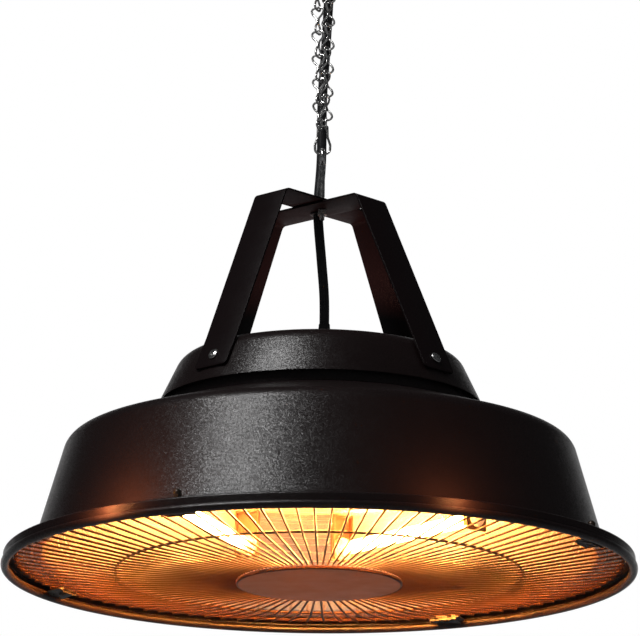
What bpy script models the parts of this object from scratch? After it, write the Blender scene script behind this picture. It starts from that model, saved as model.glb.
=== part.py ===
"""Hanging patio heater: a bell shade with three halogen tubes behind a wire grille.

The origin is the middle of the ceiling plate's top face. The pieces under the chain are
modelled in the rim frame, whose zero height is the middle of the shade's rolled rim, and
the empty rim_centre carries that frame. The chain swings about the hanger pin, and the
heater swings about the eye bolt's top arc.
"""

import math

import bmesh
import bpy
from mathutils import Matrix, Vector

# Fits that all pieces share
GAP = 0.0003
OVERRUN = 0.003
WELD = 0.0006

# Shade
RIM_R = 0.300
BEAD_R = 0.00405
FLANGE_INSET = 0.0021
FLANGE_HEIGHT = 0.0112
LIP_WIDTH = 0.0269
LIP_RISE = 0.0028
WALL_HEIGHT = 0.106
WALL_LEAN = 0.0306
SHOULDER_WIDTH = 0.0894
SHOULDER_RISE = 0.028
SHADE_TOP_WIDTH = 0.033
SHADE_SHEET = 0.0012
LIP_EDGE_FILLET = 0.002
WALL_TOP_FILLET = 0.018

# Support ring and cap
NECK_INSET = 0.004
NECK_SHOWN = 0.010
RING_SHEET = 0.0015
RING_FLANGE_WIDTH = 0.025
RING_SCREW_INSET = 0.012
RING_REACH = 0.010
CAP_OVERHANG = 0.007
CAP_HEIGHT = 0.046
CAP_LEAN = 0.022
CAP_SHEET = 0.0012
CAP_FILLET = 0.020

# Crossed straps
STRAP_WIDTH = 0.041
STRAP_SHEET = 0.002
STRAP_BEND_R = 0.006
STRAP_ARCH_HEIGHT = 0.150
STRAP_SCREW_HEIGHT = 0.024
STRAP_FOOT_LENGTH = 0.013
STRAP_TURN_DEG = 2.65

# Eye bolt and the rings of the chain
EYE_HOLE_R = 0.005
EYE_WIRE_R = 0.0022
EYE_SHANK_R = 0.0025
EYE_LIFT = 0.0484
EYE_TAIL = 0.005
EYE_NUT_R = 0.0047
EYE_NUT_HEIGHT = 0.005
JOINING_WIRE_R = 0.0012
JOINING_HEIGHT = 0.0277
JOINING_TOP_HALF = 0.0069
JOINING_FOOT_HALF = 0.0069
JOINING_TOP_FILLET = 0.0014
JOINING_FOOT_FILLET = 0.0034
END_RING_R = 0.0056

# Chain
LINK_COUNT = 6
LINK_WIRE_R = 0.00095
LINK_LENGTH = 0.0263
LINK_HALF_WIDTH = 0.00667
LINK_NECK_SHARE = 0.22
LINK_NECK_LENGTH_SHARE = 0.08
LINK_TWIST_SHARE = 0.25
STRAND_TOP_X = {"left": -0.0066, "right": 0.0054}
STRAND_FOOT_X = {"left": -0.0043, "right": 0.0043}
STRAND_Y = {"left": -0.0018, "right": 0.0018}
STRAND_RAMP_SHARE = 0.10

# Hanger and ceiling plate
PIN_R = 0.002
PIN_DROP = 0.028
PIN_TAIL = 0.0055
PIN_HEAD_R = 0.0052
PIN_HEAD_HEIGHT = 0.0035
HANGER_SHEET = 0.003
HANGER_WIDTH = 0.024
HANGER_HALF_SPAN = 0.018
HANGER_BEND_R = 0.004
HANGER_EAR_BELOW = 0.012
PLATE_R = 0.055
PLATE_SHEET = 0.003
CEILING_SCREW_X = 0.009
CEILING_SCREW_R = 0.0022
CEILING_HEAD_R = 0.0042
CEILING_HEAD_HEIGHT = 0.0024
CEILING_CABLE_X = 0.006
CEILING_CABLE_Y = 0.024

# Cable and what it passes through
CABLE_R = 0.0047
GROMMET_WALL = 0.0014
GROMMET_FLANGE = 0.0014
GROMMET_LIP = 0.0013
STRAP_HOLE_X = -0.0035
STRAP_HOLE_Y = 0.0135
GLAND_X = 0.003
GLAND_Y = 0.007
GLAND_BODY_R = 0.0115
GLAND_BODY_HEIGHT = 0.005
GLAND_DOME_R = 0.0095
GLAND_DOME_HEIGHT = 0.013
GLAND_THREAD_R = 0.008
GLAND_THREAD_LENGTH = 0.010
GLAND_NUT_HEIGHT = 0.004
CABLE_HEAD_TOP = 0.372
CABLE_SPLIT = 0.470
CABLE_END_RUN = 0.010
CABLE_STEP_DIAMETERS = 2

# Gear plate, posts and terminal block above the reflector
GEAR_PLATE_MARGIN = 0.012
GEAR_PLATE_SHEET = 0.0012
POST_CIRCLE_R = 0.062
POST_R = 0.004
POST_STUD_R = 0.002
POST_NUT_R = 0.0036
POST_NUT_HEIGHT = 0.0028
POST_COUNT = 3
TERMINAL_LENGTH = 0.052
TERMINAL_WIDTH = 0.020
TERMINAL_HEIGHT = 0.016
TERMINAL_EDGE = 0.0015

# Reflector
REFLECTOR_SHEET = 0.0008
REFLECTOR_EDGE_INSET = 0.008
REFLECTOR_MOUTH_INSET = 0.009
REFLECTOR_CEILING_R = 0.165
REFLECTOR_CEILING_HEIGHT = 0.072
REFLECTOR_CORNER_FILLET = 0.014
PRESSED_RING_SHARES = (0.50, 0.80)
PRESSED_RING_WIDTH = 0.008
PRESSED_RING_DEPTH = 0.0025

# Lamps
LAMP_COUNT = 3
LAMP_TURN_DEG = 10.0
LAMP_CIRCLE_SHARE = 0.6667
LAMP_DROP = 0.034
LAMP_GLASS_R = 0.006
LAMP_GLASS_SHARE = 1.1515
LAMP_CAP_R = 0.0085
LAMP_CAP_LENGTH = 0.016
LAMP_CAP_GRIP = 0.006
HOLDER_SHEET = 0.006
HOLDER_WIDTH = 0.024
HOLDER_BELOW = 0.012

# Grille
WIRE_COUNT = 104
WIRE_R = 0.0011
OUTER_RING_INSET = 0.014
OUTER_RING_WIRE_R = 0.00175
MID_RING_R = 0.192
MID_RING_WIRE_R = 0.0015
MID_RING_DROP = 0.01135
DISC_R = 0.0785
DISC_SHEET = 0.0012
DISC_FLANGE_HEIGHT = 0.0031
DISC_CORNER_FILLET = 0.0014
DISC_DROP = 0.0043

# Clips that hold the grille, the reflector and the lip together
CLIP_COUNT = 4
CLIP_AZIMUTH_DEG = -27.0
CLIP_BOLT_R = 0.002
CLIP_BOLT_CIRCLE_INSET = 0.0062
CLIP_BOLT_END = 0.0075
CLIP_HEAD_R = 0.0038
CLIP_HEAD_HEIGHT = 0.0022
CLIP_NUT_R = 0.0038
CLIP_NUT_HEIGHT = 0.0032
CLIP_LENGTH = 0.034
CLIP_WIDTH = 0.016
CLIP_SHEET = 0.0012

# Strap screws, and the studs that hold the support ring
STRAP_SCREW_R = 0.002
STRAP_SCREW_HEAD_R = 0.0055
STRAP_SCREW_HEAD_HEIGHT = 0.0028
STRAP_NUT_R = 0.0042
STRAP_NUT_HEIGHT = 0.0032
RING_STUD_R = 0.002
RING_NUT_R = 0.0038
RING_NUT_HEIGHT = 0.0030
SCREW_TAIL = 0.0015

# Facets
SHADE_STEPS = 40
CAP_STEPS = 32
REFLECTOR_STEPS = 36
RING_STEPS = 44
DISC_STEPS = 28
STUD_STEPS = 6
RING_SIDES = 5
SCREW_STEPS = 8
BORE_STEPS = 12
ROUND_STEPS = 12
LINK_POINTS = 16
LINK_SIDES = 5
LOOP_POINTS = 12

# Radii of the shade that follow from its sizes
FLANGE_R = RIM_R - FLANGE_INSET
WALL_FOOT_R = FLANGE_R - LIP_WIDTH
WALL_TOP_R = WALL_FOOT_R - WALL_LEAN
SHOULDER_R = WALL_TOP_R - SHOULDER_WIDTH
SHADE_HOLE_R = SHOULDER_R - SHADE_TOP_WIDTH
NECK_R = SHOULDER_R - NECK_INSET
CAP_HEM_R = NECK_R + CAP_OVERHANG

# Sizes of the grille and the lamps that follow from the rim and the reflector
OUTER_RING_R = RIM_R - OUTER_RING_INSET
LAMP_CIRCLE_R = REFLECTOR_CEILING_R * LAMP_CIRCLE_SHARE
LAMP_GLASS_LENGTH = REFLECTOR_CEILING_R * LAMP_GLASS_SHARE

# Heights in the rim frame that follow from the sizes
WALL_FOOT_Z = FLANGE_HEIGHT + LIP_RISE
WALL_TOP_Z = WALL_FOOT_Z + WALL_HEIGHT
SHADE_TOP_Z = WALL_TOP_Z + SHOULDER_RISE
CAP_HEM_Z = SHADE_TOP_Z + NECK_SHOWN
CAP_TOP_Z = CAP_HEM_Z + CAP_HEIGHT
LOWER_STRAP_Z = CAP_TOP_Z + STRAP_ARCH_HEIGHT
UPPER_STRAP_Z = LOWER_STRAP_Z + STRAP_SHEET + GAP
STRAPS_TOP_Z = UPPER_STRAP_Z + STRAP_SHEET / 2
STRAPS_FOOT_Z = LOWER_STRAP_Z - STRAP_SHEET / 2
EYE_CENTRE_Z = STRAPS_TOP_Z + EYE_LIFT
EYE_ARC_Z = EYE_CENTRE_Z + EYE_HOLE_R + EYE_WIRE_R
JOINING_FOOT_Z = EYE_ARC_Z - EYE_WIRE_R - JOINING_WIRE_R - GAP
JOINING_TOP_Z = JOINING_FOOT_Z + JOINING_HEIGHT
STRAND_FOOT_Z = JOINING_TOP_Z - JOINING_WIRE_R - LINK_WIRE_R - GAP
LINK_HOOK = 2 * LINK_WIRE_R + GAP
LINK_PITCH = LINK_LENGTH - LINK_HOOK
END_RING_PITCH = 2 * END_RING_R - LINK_HOOK
STRAND_TOP_Z = STRAND_FOOT_Z + LINK_COUNT * LINK_PITCH + END_RING_PITCH + LINK_HOOK
PIN_Z = STRAND_TOP_Z - LINK_WIRE_R - GAP - PIN_R
CEILING_Z = PIN_Z + PIN_DROP

# Slopes of the shade's lip and of the cap's wall
LIP_SLOPE = LIP_RISE / LIP_WIDTH
CAP_SLOPE = CAP_LEAN / CAP_HEIGHT
CAP_TILT = math.atan(CAP_SLOPE)

# The cable's route in the rim frame, from the terminal block to the ceiling plate
CABLE_ROUTE = (
    (0.0030, 0.0070, 0.1500),
    (0.0030, 0.0070, 0.2000),
    (0.0030, 0.0070, 0.2330),
    (0.0027, 0.0095, 0.2690),
    (-0.0002, 0.0122, 0.3060),
    (-0.0034, 0.0134, 0.3430),
    (-0.0035, 0.0135, 0.3560),
    (-0.0035, 0.0136, 0.3690),
    (-0.0010, 0.0148, 0.4080),
    (-0.0006, 0.0142, 0.4670),
    (0.0020, 0.0138, 0.5120),
    (0.0047, 0.0160, 0.5650),
    (0.0058, 0.0212, 0.5900),
    (0.0060, 0.0240, 0.6030),
    (0.0060, 0.0240, 0.6090),
    (0.0060, 0.0240, 0.6145),
)


def clear_scene():
    """Remove every object of the open file."""
    for old in list(bpy.data.objects):
        bpy.data.objects.remove(old, do_unlink=True)


def make_material(name, colour, roughness, metallic=0.0):
    """Return a Principled material of one colour."""
    material = bpy.data.materials.new(name)
    material.use_nodes = True
    shader = material.node_tree.nodes["Principled BSDF"]
    shader.inputs["Base Color"].default_value = (*colour, 1.0)
    shader.inputs["Roughness"].default_value = roughness
    shader.inputs["Metallic"].default_value = metallic
    return material


def make_empty(name, height, parent=None):
    """Return an empty on the centre line, at a height above its parent."""
    empty = bpy.data.objects.new(name, None)
    bpy.context.collection.objects.link(empty)
    empty.location = (0, 0, height)
    empty.parent = parent
    return empty


def finish(name, shape, material, parent, smooth_deg=35.0):
    """Turn a bmesh into a named object under its parent."""
    bmesh.ops.recalc_face_normals(shape, faces=shape.faces)
    mesh = bpy.data.meshes.new(name)
    shape.to_mesh(mesh)
    shape.free()
    mesh.shade_smooth()
    mesh.set_sharp_from_angle(angle=math.radians(smooth_deg))
    mesh.materials.append(material)
    piece = bpy.data.objects.new(name, mesh)
    bpy.context.collection.objects.link(piece)
    piece.parent = parent
    return piece


def hide_cutter(cutter):
    """Keep a cutter out of the build."""
    cutter.hide_render = True
    cutter.display_type = "WIRE"


def cut(piece, cutter, operation="DIFFERENCE"):
    """Cut a piece with another object, or join the two into one solid."""
    modifier = piece.modifiers.new(cutter.name, "BOOLEAN")
    modifier.operation = operation
    modifier.solver = "EXACT"
    modifier.object = cutter


def arc_corner(before, corner, after, radius, steps):
    """Return the points that round one corner of an outline."""
    to_before = (Vector(before) - Vector(corner)).normalized()
    to_after = (Vector(after) - Vector(corner)).normalized()
    half = to_before.angle(to_after) / 2
    centre = Vector(corner) + (to_before + to_after).normalized() * (radius / math.sin(half))
    start = Vector(corner) + to_before * (radius / math.tan(half)) - centre
    end = Vector(corner) + to_after * (radius / math.tan(half)) - centre
    sweep = start.angle(end)
    points = []
    for step in range(steps + 1):
        share = step / steps
        from_start = math.sin((1 - share) * sweep) / math.sin(sweep)
        from_end = math.sin(share * sweep) / math.sin(sweep)
        points.append(tuple(centre + start * from_start + end * from_end))
    return points


def round_path(points, radii, steps=3, closed=False):
    """Round the corners of a path. A radius of zero keeps its corner sharp."""
    count = len(points)
    rounded = []
    for index, corner in enumerate(points):
        is_end = not closed and index in (0, count - 1)
        if is_end or radii[index] == 0:
            rounded.append(tuple(corner))
            continue
        before = points[index - 1]
        after = points[(index + 1) % count]
        rounded.extend(arc_corner(before, corner, after, radii[index], steps))
    return rounded


def offset_path(points, distance):
    """Return a flat open path moved to its left side, with mitred corners."""
    moved = []
    for index, point in enumerate(points):
        normals = []
        for first, second in ((index - 1, index), (index, index + 1)):
            if first < 0 or second >= len(points):
                continue
            run = Vector(points[second]) - Vector(points[first])
            normals.append(Vector((-run.y, run.x)).normalized())
        mean = (normals[0] + normals[-1]).normalized()
        moved.append(tuple(Vector(point) + mean * (distance / mean.dot(normals[0]))))
    return moved


def sheet_outline(path, thickness):
    """Return the closed outline of a sheet whose outer side follows the path."""
    return list(path) + offset_path(path, thickness)[::-1]


def add_turned(shape, outline, steps, matrix=None):
    """Add a solid turned about Z. Points at radius zero lie on the axis."""
    rings = []
    for radius, height in outline:
        if radius == 0:
            rings.append([shape.verts.new((0, 0, height))])
            continue
        ring = []
        for step in range(steps):
            angle = 2 * math.pi * step / steps
            ring.append(shape.verts.new((radius * math.cos(angle), radius * math.sin(angle), height)))
        rings.append(ring)
    pairs = list(zip(rings, rings[1:]))
    if len(rings[0]) > 1:
        pairs.append((rings[-1], rings[0]))
    for lower, upper in pairs:
        for step in range(steps):
            following = (step + 1) % steps
            corners = [lower[step % len(lower)], lower[following % len(lower)]]
            corners += [upper[following % len(upper)], upper[step % len(upper)]]
            face = list(dict.fromkeys(corners))
            shape.faces.new(face)
    if matrix is not None:
        bmesh.ops.transform(shape, matrix=matrix, verts=[v for ring in rings for v in ring])


def add_tube(shape, path, radius, sides, closed=False, matrix=None):
    """Add a round wire along a path of points."""
    points = [Vector(point) for point in path]
    count = len(points)
    tangents = []
    for index in range(count):
        before = points[index - 1] if closed or index else points[0]
        after = points[(index + 1) % count] if closed or index < count - 1 else points[-1]
        tangents.append((after - before).normalized())
    side = tangents[0].orthogonal().normalized()
    sides_along = [side]
    for index in range(1, count):
        turn = tangents[index - 1].rotation_difference(tangents[index])
        side = turn @ side
        sides_along.append(side)
    slip = 0.0
    if closed:
        last = tangents[-1].rotation_difference(tangents[0]) @ sides_along[-1]
        slip = math.atan2(tangents[0].dot(last.cross(sides_along[0])), last.dot(sides_along[0]))
    rings = []
    for index, point in enumerate(points):
        across = Matrix.Rotation(slip * index / count, 3, tangents[index]) @ sides_along[index]
        other = tangents[index].cross(across)
        ring = []
        for step in range(sides):
            angle = 2 * math.pi * step / sides
            ring.append(shape.verts.new(point + radius * (math.cos(angle) * across + math.sin(angle) * other)))
        rings.append(ring)
    pairs = list(zip(rings, rings[1:]))
    if closed:
        pairs.append((rings[-1], rings[0]))
    for first, second in pairs:
        for step in range(sides):
            following = (step + 1) % sides
            shape.faces.new((first[step], first[following], second[following], second[step]))
    if not closed:
        shape.faces.new(rings[0])
        shape.faces.new(rings[-1])
    if matrix is not None:
        bmesh.ops.transform(shape, matrix=matrix, verts=[v for ring in rings for v in ring])


def add_hexagon(shape, radius, low, high, bore, matrix=None):
    """Add a hexagonal nut about Z, with a round bore whose flats lie on its radius."""
    bore_corner = bore / math.cos(math.pi / 12)
    loops = []
    for height in (low, high):
        for is_bore in (False, True):
            loop = []
            for step in range(12):
                angle = math.pi * step / 6
                reach = radius if step % 2 == 0 else radius * math.cos(math.pi / 6)
                reach = bore_corner if is_bore else reach
                loop.append(shape.verts.new((reach * math.cos(angle), reach * math.sin(angle), height)))
            loops.append(loop)
    for first, second in ((0, 1), (1, 3), (3, 2), (2, 0)):
        for step in range(12):
            following = (step + 1) % 12
            corners = (loops[first][step], loops[first][following])
            corners += (loops[second][following], loops[second][step])
            shape.faces.new(corners)
    if matrix is not None:
        bmesh.ops.transform(shape, matrix=matrix, verts=[v for loop in loops for v in loop])


def add_strip(shape, path, thickness, width, matrix=None):
    """Add a bent strip: a path in the XZ plane, made wide along Y."""
    outline = offset_path(path, -thickness / 2) + offset_path(path, thickness / 2)[::-1]
    front = [shape.verts.new((x, -width / 2, z)) for x, z in outline]
    back = [shape.verts.new((x, width / 2, z)) for x, z in outline]
    count = len(outline)
    half = count // 2
    for loop in (front, back):
        for index in range(half - 1):
            shape.faces.new((loop[index], loop[index + 1], loop[count - 2 - index], loop[count - 1 - index]))
    for index in range(count):
        following = (index + 1) % count
        shape.faces.new((front[index], front[following], back[following], back[index]))
    if matrix is not None:
        bmesh.ops.transform(shape, matrix=matrix, verts=front + back)


def add_box(shape, size, centre, edge=0.0, matrix=None):
    """Add a box of a size about a centre, with bevelled edges."""
    place = Matrix.Translation(centre) @ Matrix.Diagonal((*size, 1.0))
    made = bmesh.ops.create_cube(shape, size=1.0, matrix=place)
    verts = made["verts"]
    if edge:
        edges = list({link for vert in verts for link in vert.link_edges})
        bevel = bmesh.ops.bevel(shape, geom=edges, offset=edge, segments=1, affect="EDGES")
        verts = list({vert for face in bevel["faces"] for vert in face.verts})
    if matrix is not None:
        bmesh.ops.transform(shape, matrix=matrix, verts=verts)


def add_screw(shape, shank_r, low, high, head_r, head_height, matrix=None):
    """Add a pan-head screw about Z: its head starts at the upper height."""
    outline = [(0, low), (shank_r, low), (shank_r, high), (head_r, high)]
    outline += [(head_r, high + head_height / 2), (head_r / 2, high + head_height), (0, high + head_height)]
    add_turned(shape, outline, SCREW_STEPS, matrix)


def add_plain_cylinder(shape, radius, low, high, steps, matrix=None):
    """Add a cylinder about Z."""
    add_turned(shape, [(0, low), (radius, low), (radius, high), (0, high)], steps, matrix)


def add_bore(shape, radius, low, high, matrix=None):
    """Add a cutter about Z whose flats lie on its radius, so that what fits it stays clear."""
    add_plain_cylinder(shape, radius / math.cos(math.pi / BORE_STEPS), low, high, BORE_STEPS, matrix)


def around(radius, azimuth_deg, height=0.0):
    """Return the frame at a radius and azimuth: Z up, X outward. Azimuth 0 is the front."""
    turn = Matrix.Rotation(math.radians(azimuth_deg - 90), 4, "Z")
    return turn @ Matrix.Translation((radius, 0, height))


def strap_azimuths():
    """Return the azimuths of the strap legs, the upper strap's two first."""
    first = -45 + STRAP_TURN_DEG
    return (first, first + 180, first + 90, first + 270)


def cap_wall_radius(height):
    """Return the radius of the cap's outer wall at a height."""
    return CAP_HEM_R - CAP_SLOPE * (height - CAP_HEM_Z)


def strap_screw_frame(azimuth_deg):
    """Return the frame of a strap screw: Z out of the cap wall, its zero on the wall."""
    height = CAP_HEM_Z + STRAP_SCREW_HEIGHT
    place = around(cap_wall_radius(height), azimuth_deg, height)
    return place @ Matrix.Rotation(math.pi / 2 - CAP_TILT, 4, "Y")


def lip_height(radius):
    """Return the height of the lip's top side at a radius."""
    return FLANGE_HEIGHT + LIP_SLOPE * (FLANGE_R - radius)


def lip_frame(radius, azimuth_deg, depth=0.0):
    """Return the frame on the lip: Z square to it, its zero a depth under its top side."""
    place = around(radius, azimuth_deg, lip_height(radius))
    return place @ Matrix.Rotation(math.atan(LIP_SLOPE), 4, "Y") @ Matrix.Translation((0, 0, -depth))


def clip_azimuths():
    """Return the azimuths of the clip bolts."""
    return [CLIP_AZIMUTH_DEG + 360 / CLIP_COUNT * index for index in range(CLIP_COUNT)]


def clip_bolt_radius():
    """Return the radius of the circle of clip bolts, just inside the grille's outer ring."""
    return OUTER_RING_R - CLIP_BOLT_CIRCLE_INSET


def ring_screw_radius():
    """Return the radius of the circle of support-ring screws."""
    return NECK_R - RING_SCREW_INSET


def build_shade(material, parent):
    """Turn the shade: rolled rim, lip, straight wall, shoulder and open top."""
    bead_r = RIM_R - BEAD_R
    outer_join = math.acos((FLANGE_R - bead_r) / BEAD_R)
    inner_join = math.acos((FLANGE_R - SHADE_SHEET - bead_r) / BEAD_R)
    corners = [(FLANGE_R, BEAD_R * math.sin(outer_join)), (FLANGE_R, FLANGE_HEIGHT)]
    corners += [(WALL_FOOT_R, WALL_FOOT_Z), (WALL_TOP_R, WALL_TOP_Z)]
    corners += [(SHOULDER_R, SHADE_TOP_Z), (SHADE_HOLE_R, SHADE_TOP_Z)]
    radii = (0, LIP_EDGE_FILLET, 0, WALL_TOP_FILLET, 0, 0)
    outer = round_path(corners, radii, steps=2)
    inner = offset_path(outer, SHADE_SHEET)
    inner[0] = (FLANGE_R - SHADE_SHEET, BEAD_R * math.sin(inner_join))
    bead = []
    bead_steps = 7
    for step in range(1, bead_steps):
        angle = inner_join + (2 * math.pi + outer_join - inner_join) * step / bead_steps
        bead.append((bead_r + BEAD_R * math.cos(angle), BEAD_R * math.sin(angle)))
    shape = bmesh.new()
    add_turned(shape, outer + inner[::-1] + bead, SHADE_STEPS)
    return finish("shade", shape, material, parent)


def build_support_ring(material, parent):
    """Turn the ring between shade and cap: flange, neck and a cone inside the cap's wall."""
    nested = (CAP_SHEET + GAP) / math.cos(CAP_TILT)
    base = SHADE_TOP_Z + GAP
    neck_top = CAP_HEM_Z + (CAP_HEM_R - nested - NECK_R) / CAP_SLOPE
    cone_top = CAP_HEM_Z + STRAP_SCREW_HEIGHT + RING_REACH
    path = [(NECK_R - RING_FLANGE_WIDTH, base), (NECK_R, base)]
    path += [(NECK_R, neck_top), (cap_wall_radius(cone_top) - nested, cone_top)]
    shape = bmesh.new()
    add_turned(shape, sheet_outline(path, RING_SHEET), CAP_STEPS)
    return finish("support_ring", shape, material, parent)


def build_cap(material, parent):
    """Turn the cap: an open hem, a leaning wall and a flat top."""
    top_r = CAP_HEM_R - CAP_LEAN
    path = [(CAP_HEM_R, CAP_HEM_Z), (top_r, CAP_TOP_Z), (0, CAP_TOP_Z)]
    outer = round_path(path, (0, CAP_FILLET, 0), steps=3)
    inner = offset_path(outer, CAP_SHEET)
    inner[-1] = (0, CAP_TOP_Z - CAP_SHEET)
    shape = bmesh.new()
    add_turned(shape, inner[::-1] + outer, CAP_STEPS)
    return finish("cap_shell", shape, material, parent)


def build_strap(name, height, azimuth_deg, material, parent):
    """Bend one flat strap that stands on the cap's wall with both feet."""
    clear = (GAP + STRAP_SHEET / 2) / math.cos(CAP_TILT)
    foot_z = CAP_HEM_Z + STRAP_SCREW_HEIGHT - STRAP_FOOT_LENGTH * math.cos(CAP_TILT)
    foot_r = cap_wall_radius(foot_z) + clear
    bend_r = cap_wall_radius(height) + clear
    path = [(-foot_r, foot_z), (-bend_r, height), (bend_r, height), (foot_r, foot_z)]
    rounded = round_path(path, (0, STRAP_BEND_R, STRAP_BEND_R, 0), steps=3)
    shape = bmesh.new()
    add_strip(shape, rounded, STRAP_SHEET, STRAP_WIDTH, around(0, azimuth_deg))
    return finish(name, shape, material, parent)


def build_strap_screws(steel, parent):
    """Screw the strap feet to the cap and the support ring."""
    under_head = GAP + STRAP_SHEET + GAP
    low = weld_nut_foot() - SCREW_TAIL
    for index, azimuth in enumerate(strap_azimuths(), 1):
        screw = bmesh.new()
        add_screw(screw, STRAP_SCREW_R, low, under_head, STRAP_SCREW_HEAD_R, STRAP_SCREW_HEAD_HEIGHT,
                  strap_screw_frame(azimuth))
        finish(f"strap_screw_{index}", screw, steel, parent)


def weld_nut_foot():
    """Return how far under the cap's wall the weld nuts of the support ring end."""
    return -(CAP_SHEET + GAP + RING_SHEET + STRAP_NUT_HEIGHT)


def join_weld_nuts(ring, steel, parent):
    """Weld a nut for each strap screw to the inside of the support ring."""
    nuts = bmesh.new()
    high = -(CAP_SHEET + GAP + RING_SHEET / 2)
    for azimuth in strap_azimuths():
        add_plain_cylinder(nuts, STRAP_NUT_R, weld_nut_foot(), high, STUD_STEPS, strap_screw_frame(azimuth))
    joined = finish("weld_nuts_joined", nuts, steel, parent)
    hide_cutter(joined)
    cut(ring, joined, "UNION")


def build_gear_plate(material, parent):
    """Turn the plate that closes the shade's top, with studs for the ring and posts for the reflector."""
    top = SHADE_TOP_Z - SHADE_SHEET - GAP
    low = top - GEAR_PLATE_SHEET
    radius = ring_screw_radius() + GEAR_PLATE_MARGIN
    shape = bmesh.new()
    add_plain_cylinder(shape, radius, low, top, CAP_STEPS)
    plate = finish("gear_plate", shape, material, parent)
    middle = (top + low) / 2
    fixings = bmesh.new()
    nut_low = SHADE_TOP_Z + GAP + RING_SHEET + GAP
    nut_top = nut_low + RING_NUT_HEIGHT
    stud = [(0, middle), (RING_STUD_R, middle), (RING_STUD_R, nut_low), (RING_NUT_R, nut_low)]
    stud += [(RING_NUT_R, nut_top), (RING_STUD_R, nut_top), (RING_STUD_R, nut_top + SCREW_TAIL)]
    stud += [(0, nut_top + SCREW_TAIL)]
    for azimuth in strap_azimuths():
        add_turned(fixings, stud, STUD_STEPS, around(ring_screw_radius(), azimuth))
    ceiling_top = reflector_ceiling()
    nut_top = ceiling_top - REFLECTOR_SHEET - GAP
    nut_low = nut_top - POST_NUT_HEIGHT
    post = [(0, nut_low - SCREW_TAIL), (POST_STUD_R, nut_low - SCREW_TAIL), (POST_STUD_R, nut_low)]
    post += [(POST_NUT_R, nut_low), (POST_NUT_R, nut_top), (POST_STUD_R, nut_top)]
    post += [(POST_STUD_R, ceiling_top + GAP), (POST_R, ceiling_top + GAP), (POST_R, middle), (0, middle)]
    for azimuth in post_azimuths():
        add_turned(fixings, post, STUD_STEPS, around(POST_CIRCLE_R, azimuth))
    joined = finish("gear_plate_fixings_joined", fixings, material, parent)
    hide_cutter(joined)
    cut(plate, joined, "UNION")
    return plate


def reflector_path():
    """Return the reflector's outer side, from its flange's edge to the axis."""
    cosine = math.cos(math.atan(LIP_SLOPE))
    under_lip = (SHADE_SHEET + GAP) / cosine
    edge_r = FLANGE_R - SHADE_SHEET - REFLECTOR_EDGE_INSET
    mouth_r = WALL_FOOT_R - REFLECTOR_MOUTH_INSET
    mouth_z = lip_height(mouth_r) - under_lip
    ceiling_z = mouth_z + REFLECTOR_CEILING_HEIGHT
    path = [(edge_r, lip_height(edge_r) - under_lip), (mouth_r, mouth_z)]
    path += [(REFLECTOR_CEILING_R, ceiling_z)]
    radii = [0, 0, REFLECTOR_CORNER_FILLET]
    for share in reversed(PRESSED_RING_SHARES):
        middle = REFLECTOR_CEILING_R * share
        path += [(middle + PRESSED_RING_WIDTH / 2, ceiling_z)]
        path += [(middle, ceiling_z + PRESSED_RING_DEPTH)]
        path += [(middle - PRESSED_RING_WIDTH / 2, ceiling_z)]
        radii += [0, 0, 0]
    path += [(0, ceiling_z)]
    radii += [0]
    return round_path(path, radii, steps=2)


def reflector_ceiling():
    """Return the height of the reflector's flat ceiling, on its upper side."""
    return reflector_path()[-1][1]


def build_reflector(material, parent):
    """Turn the polished reflector: flange, cone and a ceiling with pressed rings."""
    outer = reflector_path()
    inner = offset_path(outer, REFLECTOR_SHEET)
    inner[-1] = (0, outer[-1][1] - REFLECTOR_SHEET)
    shape = bmesh.new()
    add_turned(shape, inner[::-1] + outer, REFLECTOR_STEPS)
    return finish("reflector", shape, material, parent)


def post_azimuths():
    """Return the azimuths of the posts over the reflector."""
    return [LAMP_TURN_DEG + 360 / POST_COUNT * index for index in range(POST_COUNT)]


def build_terminal_block(material, parent):
    """Stand the terminal block on the gear plate, under the cable gland."""
    base = SHADE_TOP_Z - SHADE_SHEET
    shape = bmesh.new()
    size = (TERMINAL_LENGTH, TERMINAL_WIDTH, TERMINAL_HEIGHT)
    add_box(shape, size, (GLAND_X, GLAND_Y, base + TERMINAL_HEIGHT / 2), TERMINAL_EDGE)
    return finish("terminal_block", shape, material, parent)


def lamp_frame(index):
    """Return the frame of a lamp: X along its axis, its zero at the middle of the tube."""
    azimuth = LAMP_TURN_DEG + 360 / LAMP_COUNT * index
    height = reflector_ceiling() - REFLECTOR_SHEET - LAMP_DROP
    return around(LAMP_CIRCLE_R, azimuth, height) @ Matrix.Rotation(math.pi / 2, 4, "Z")


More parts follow.
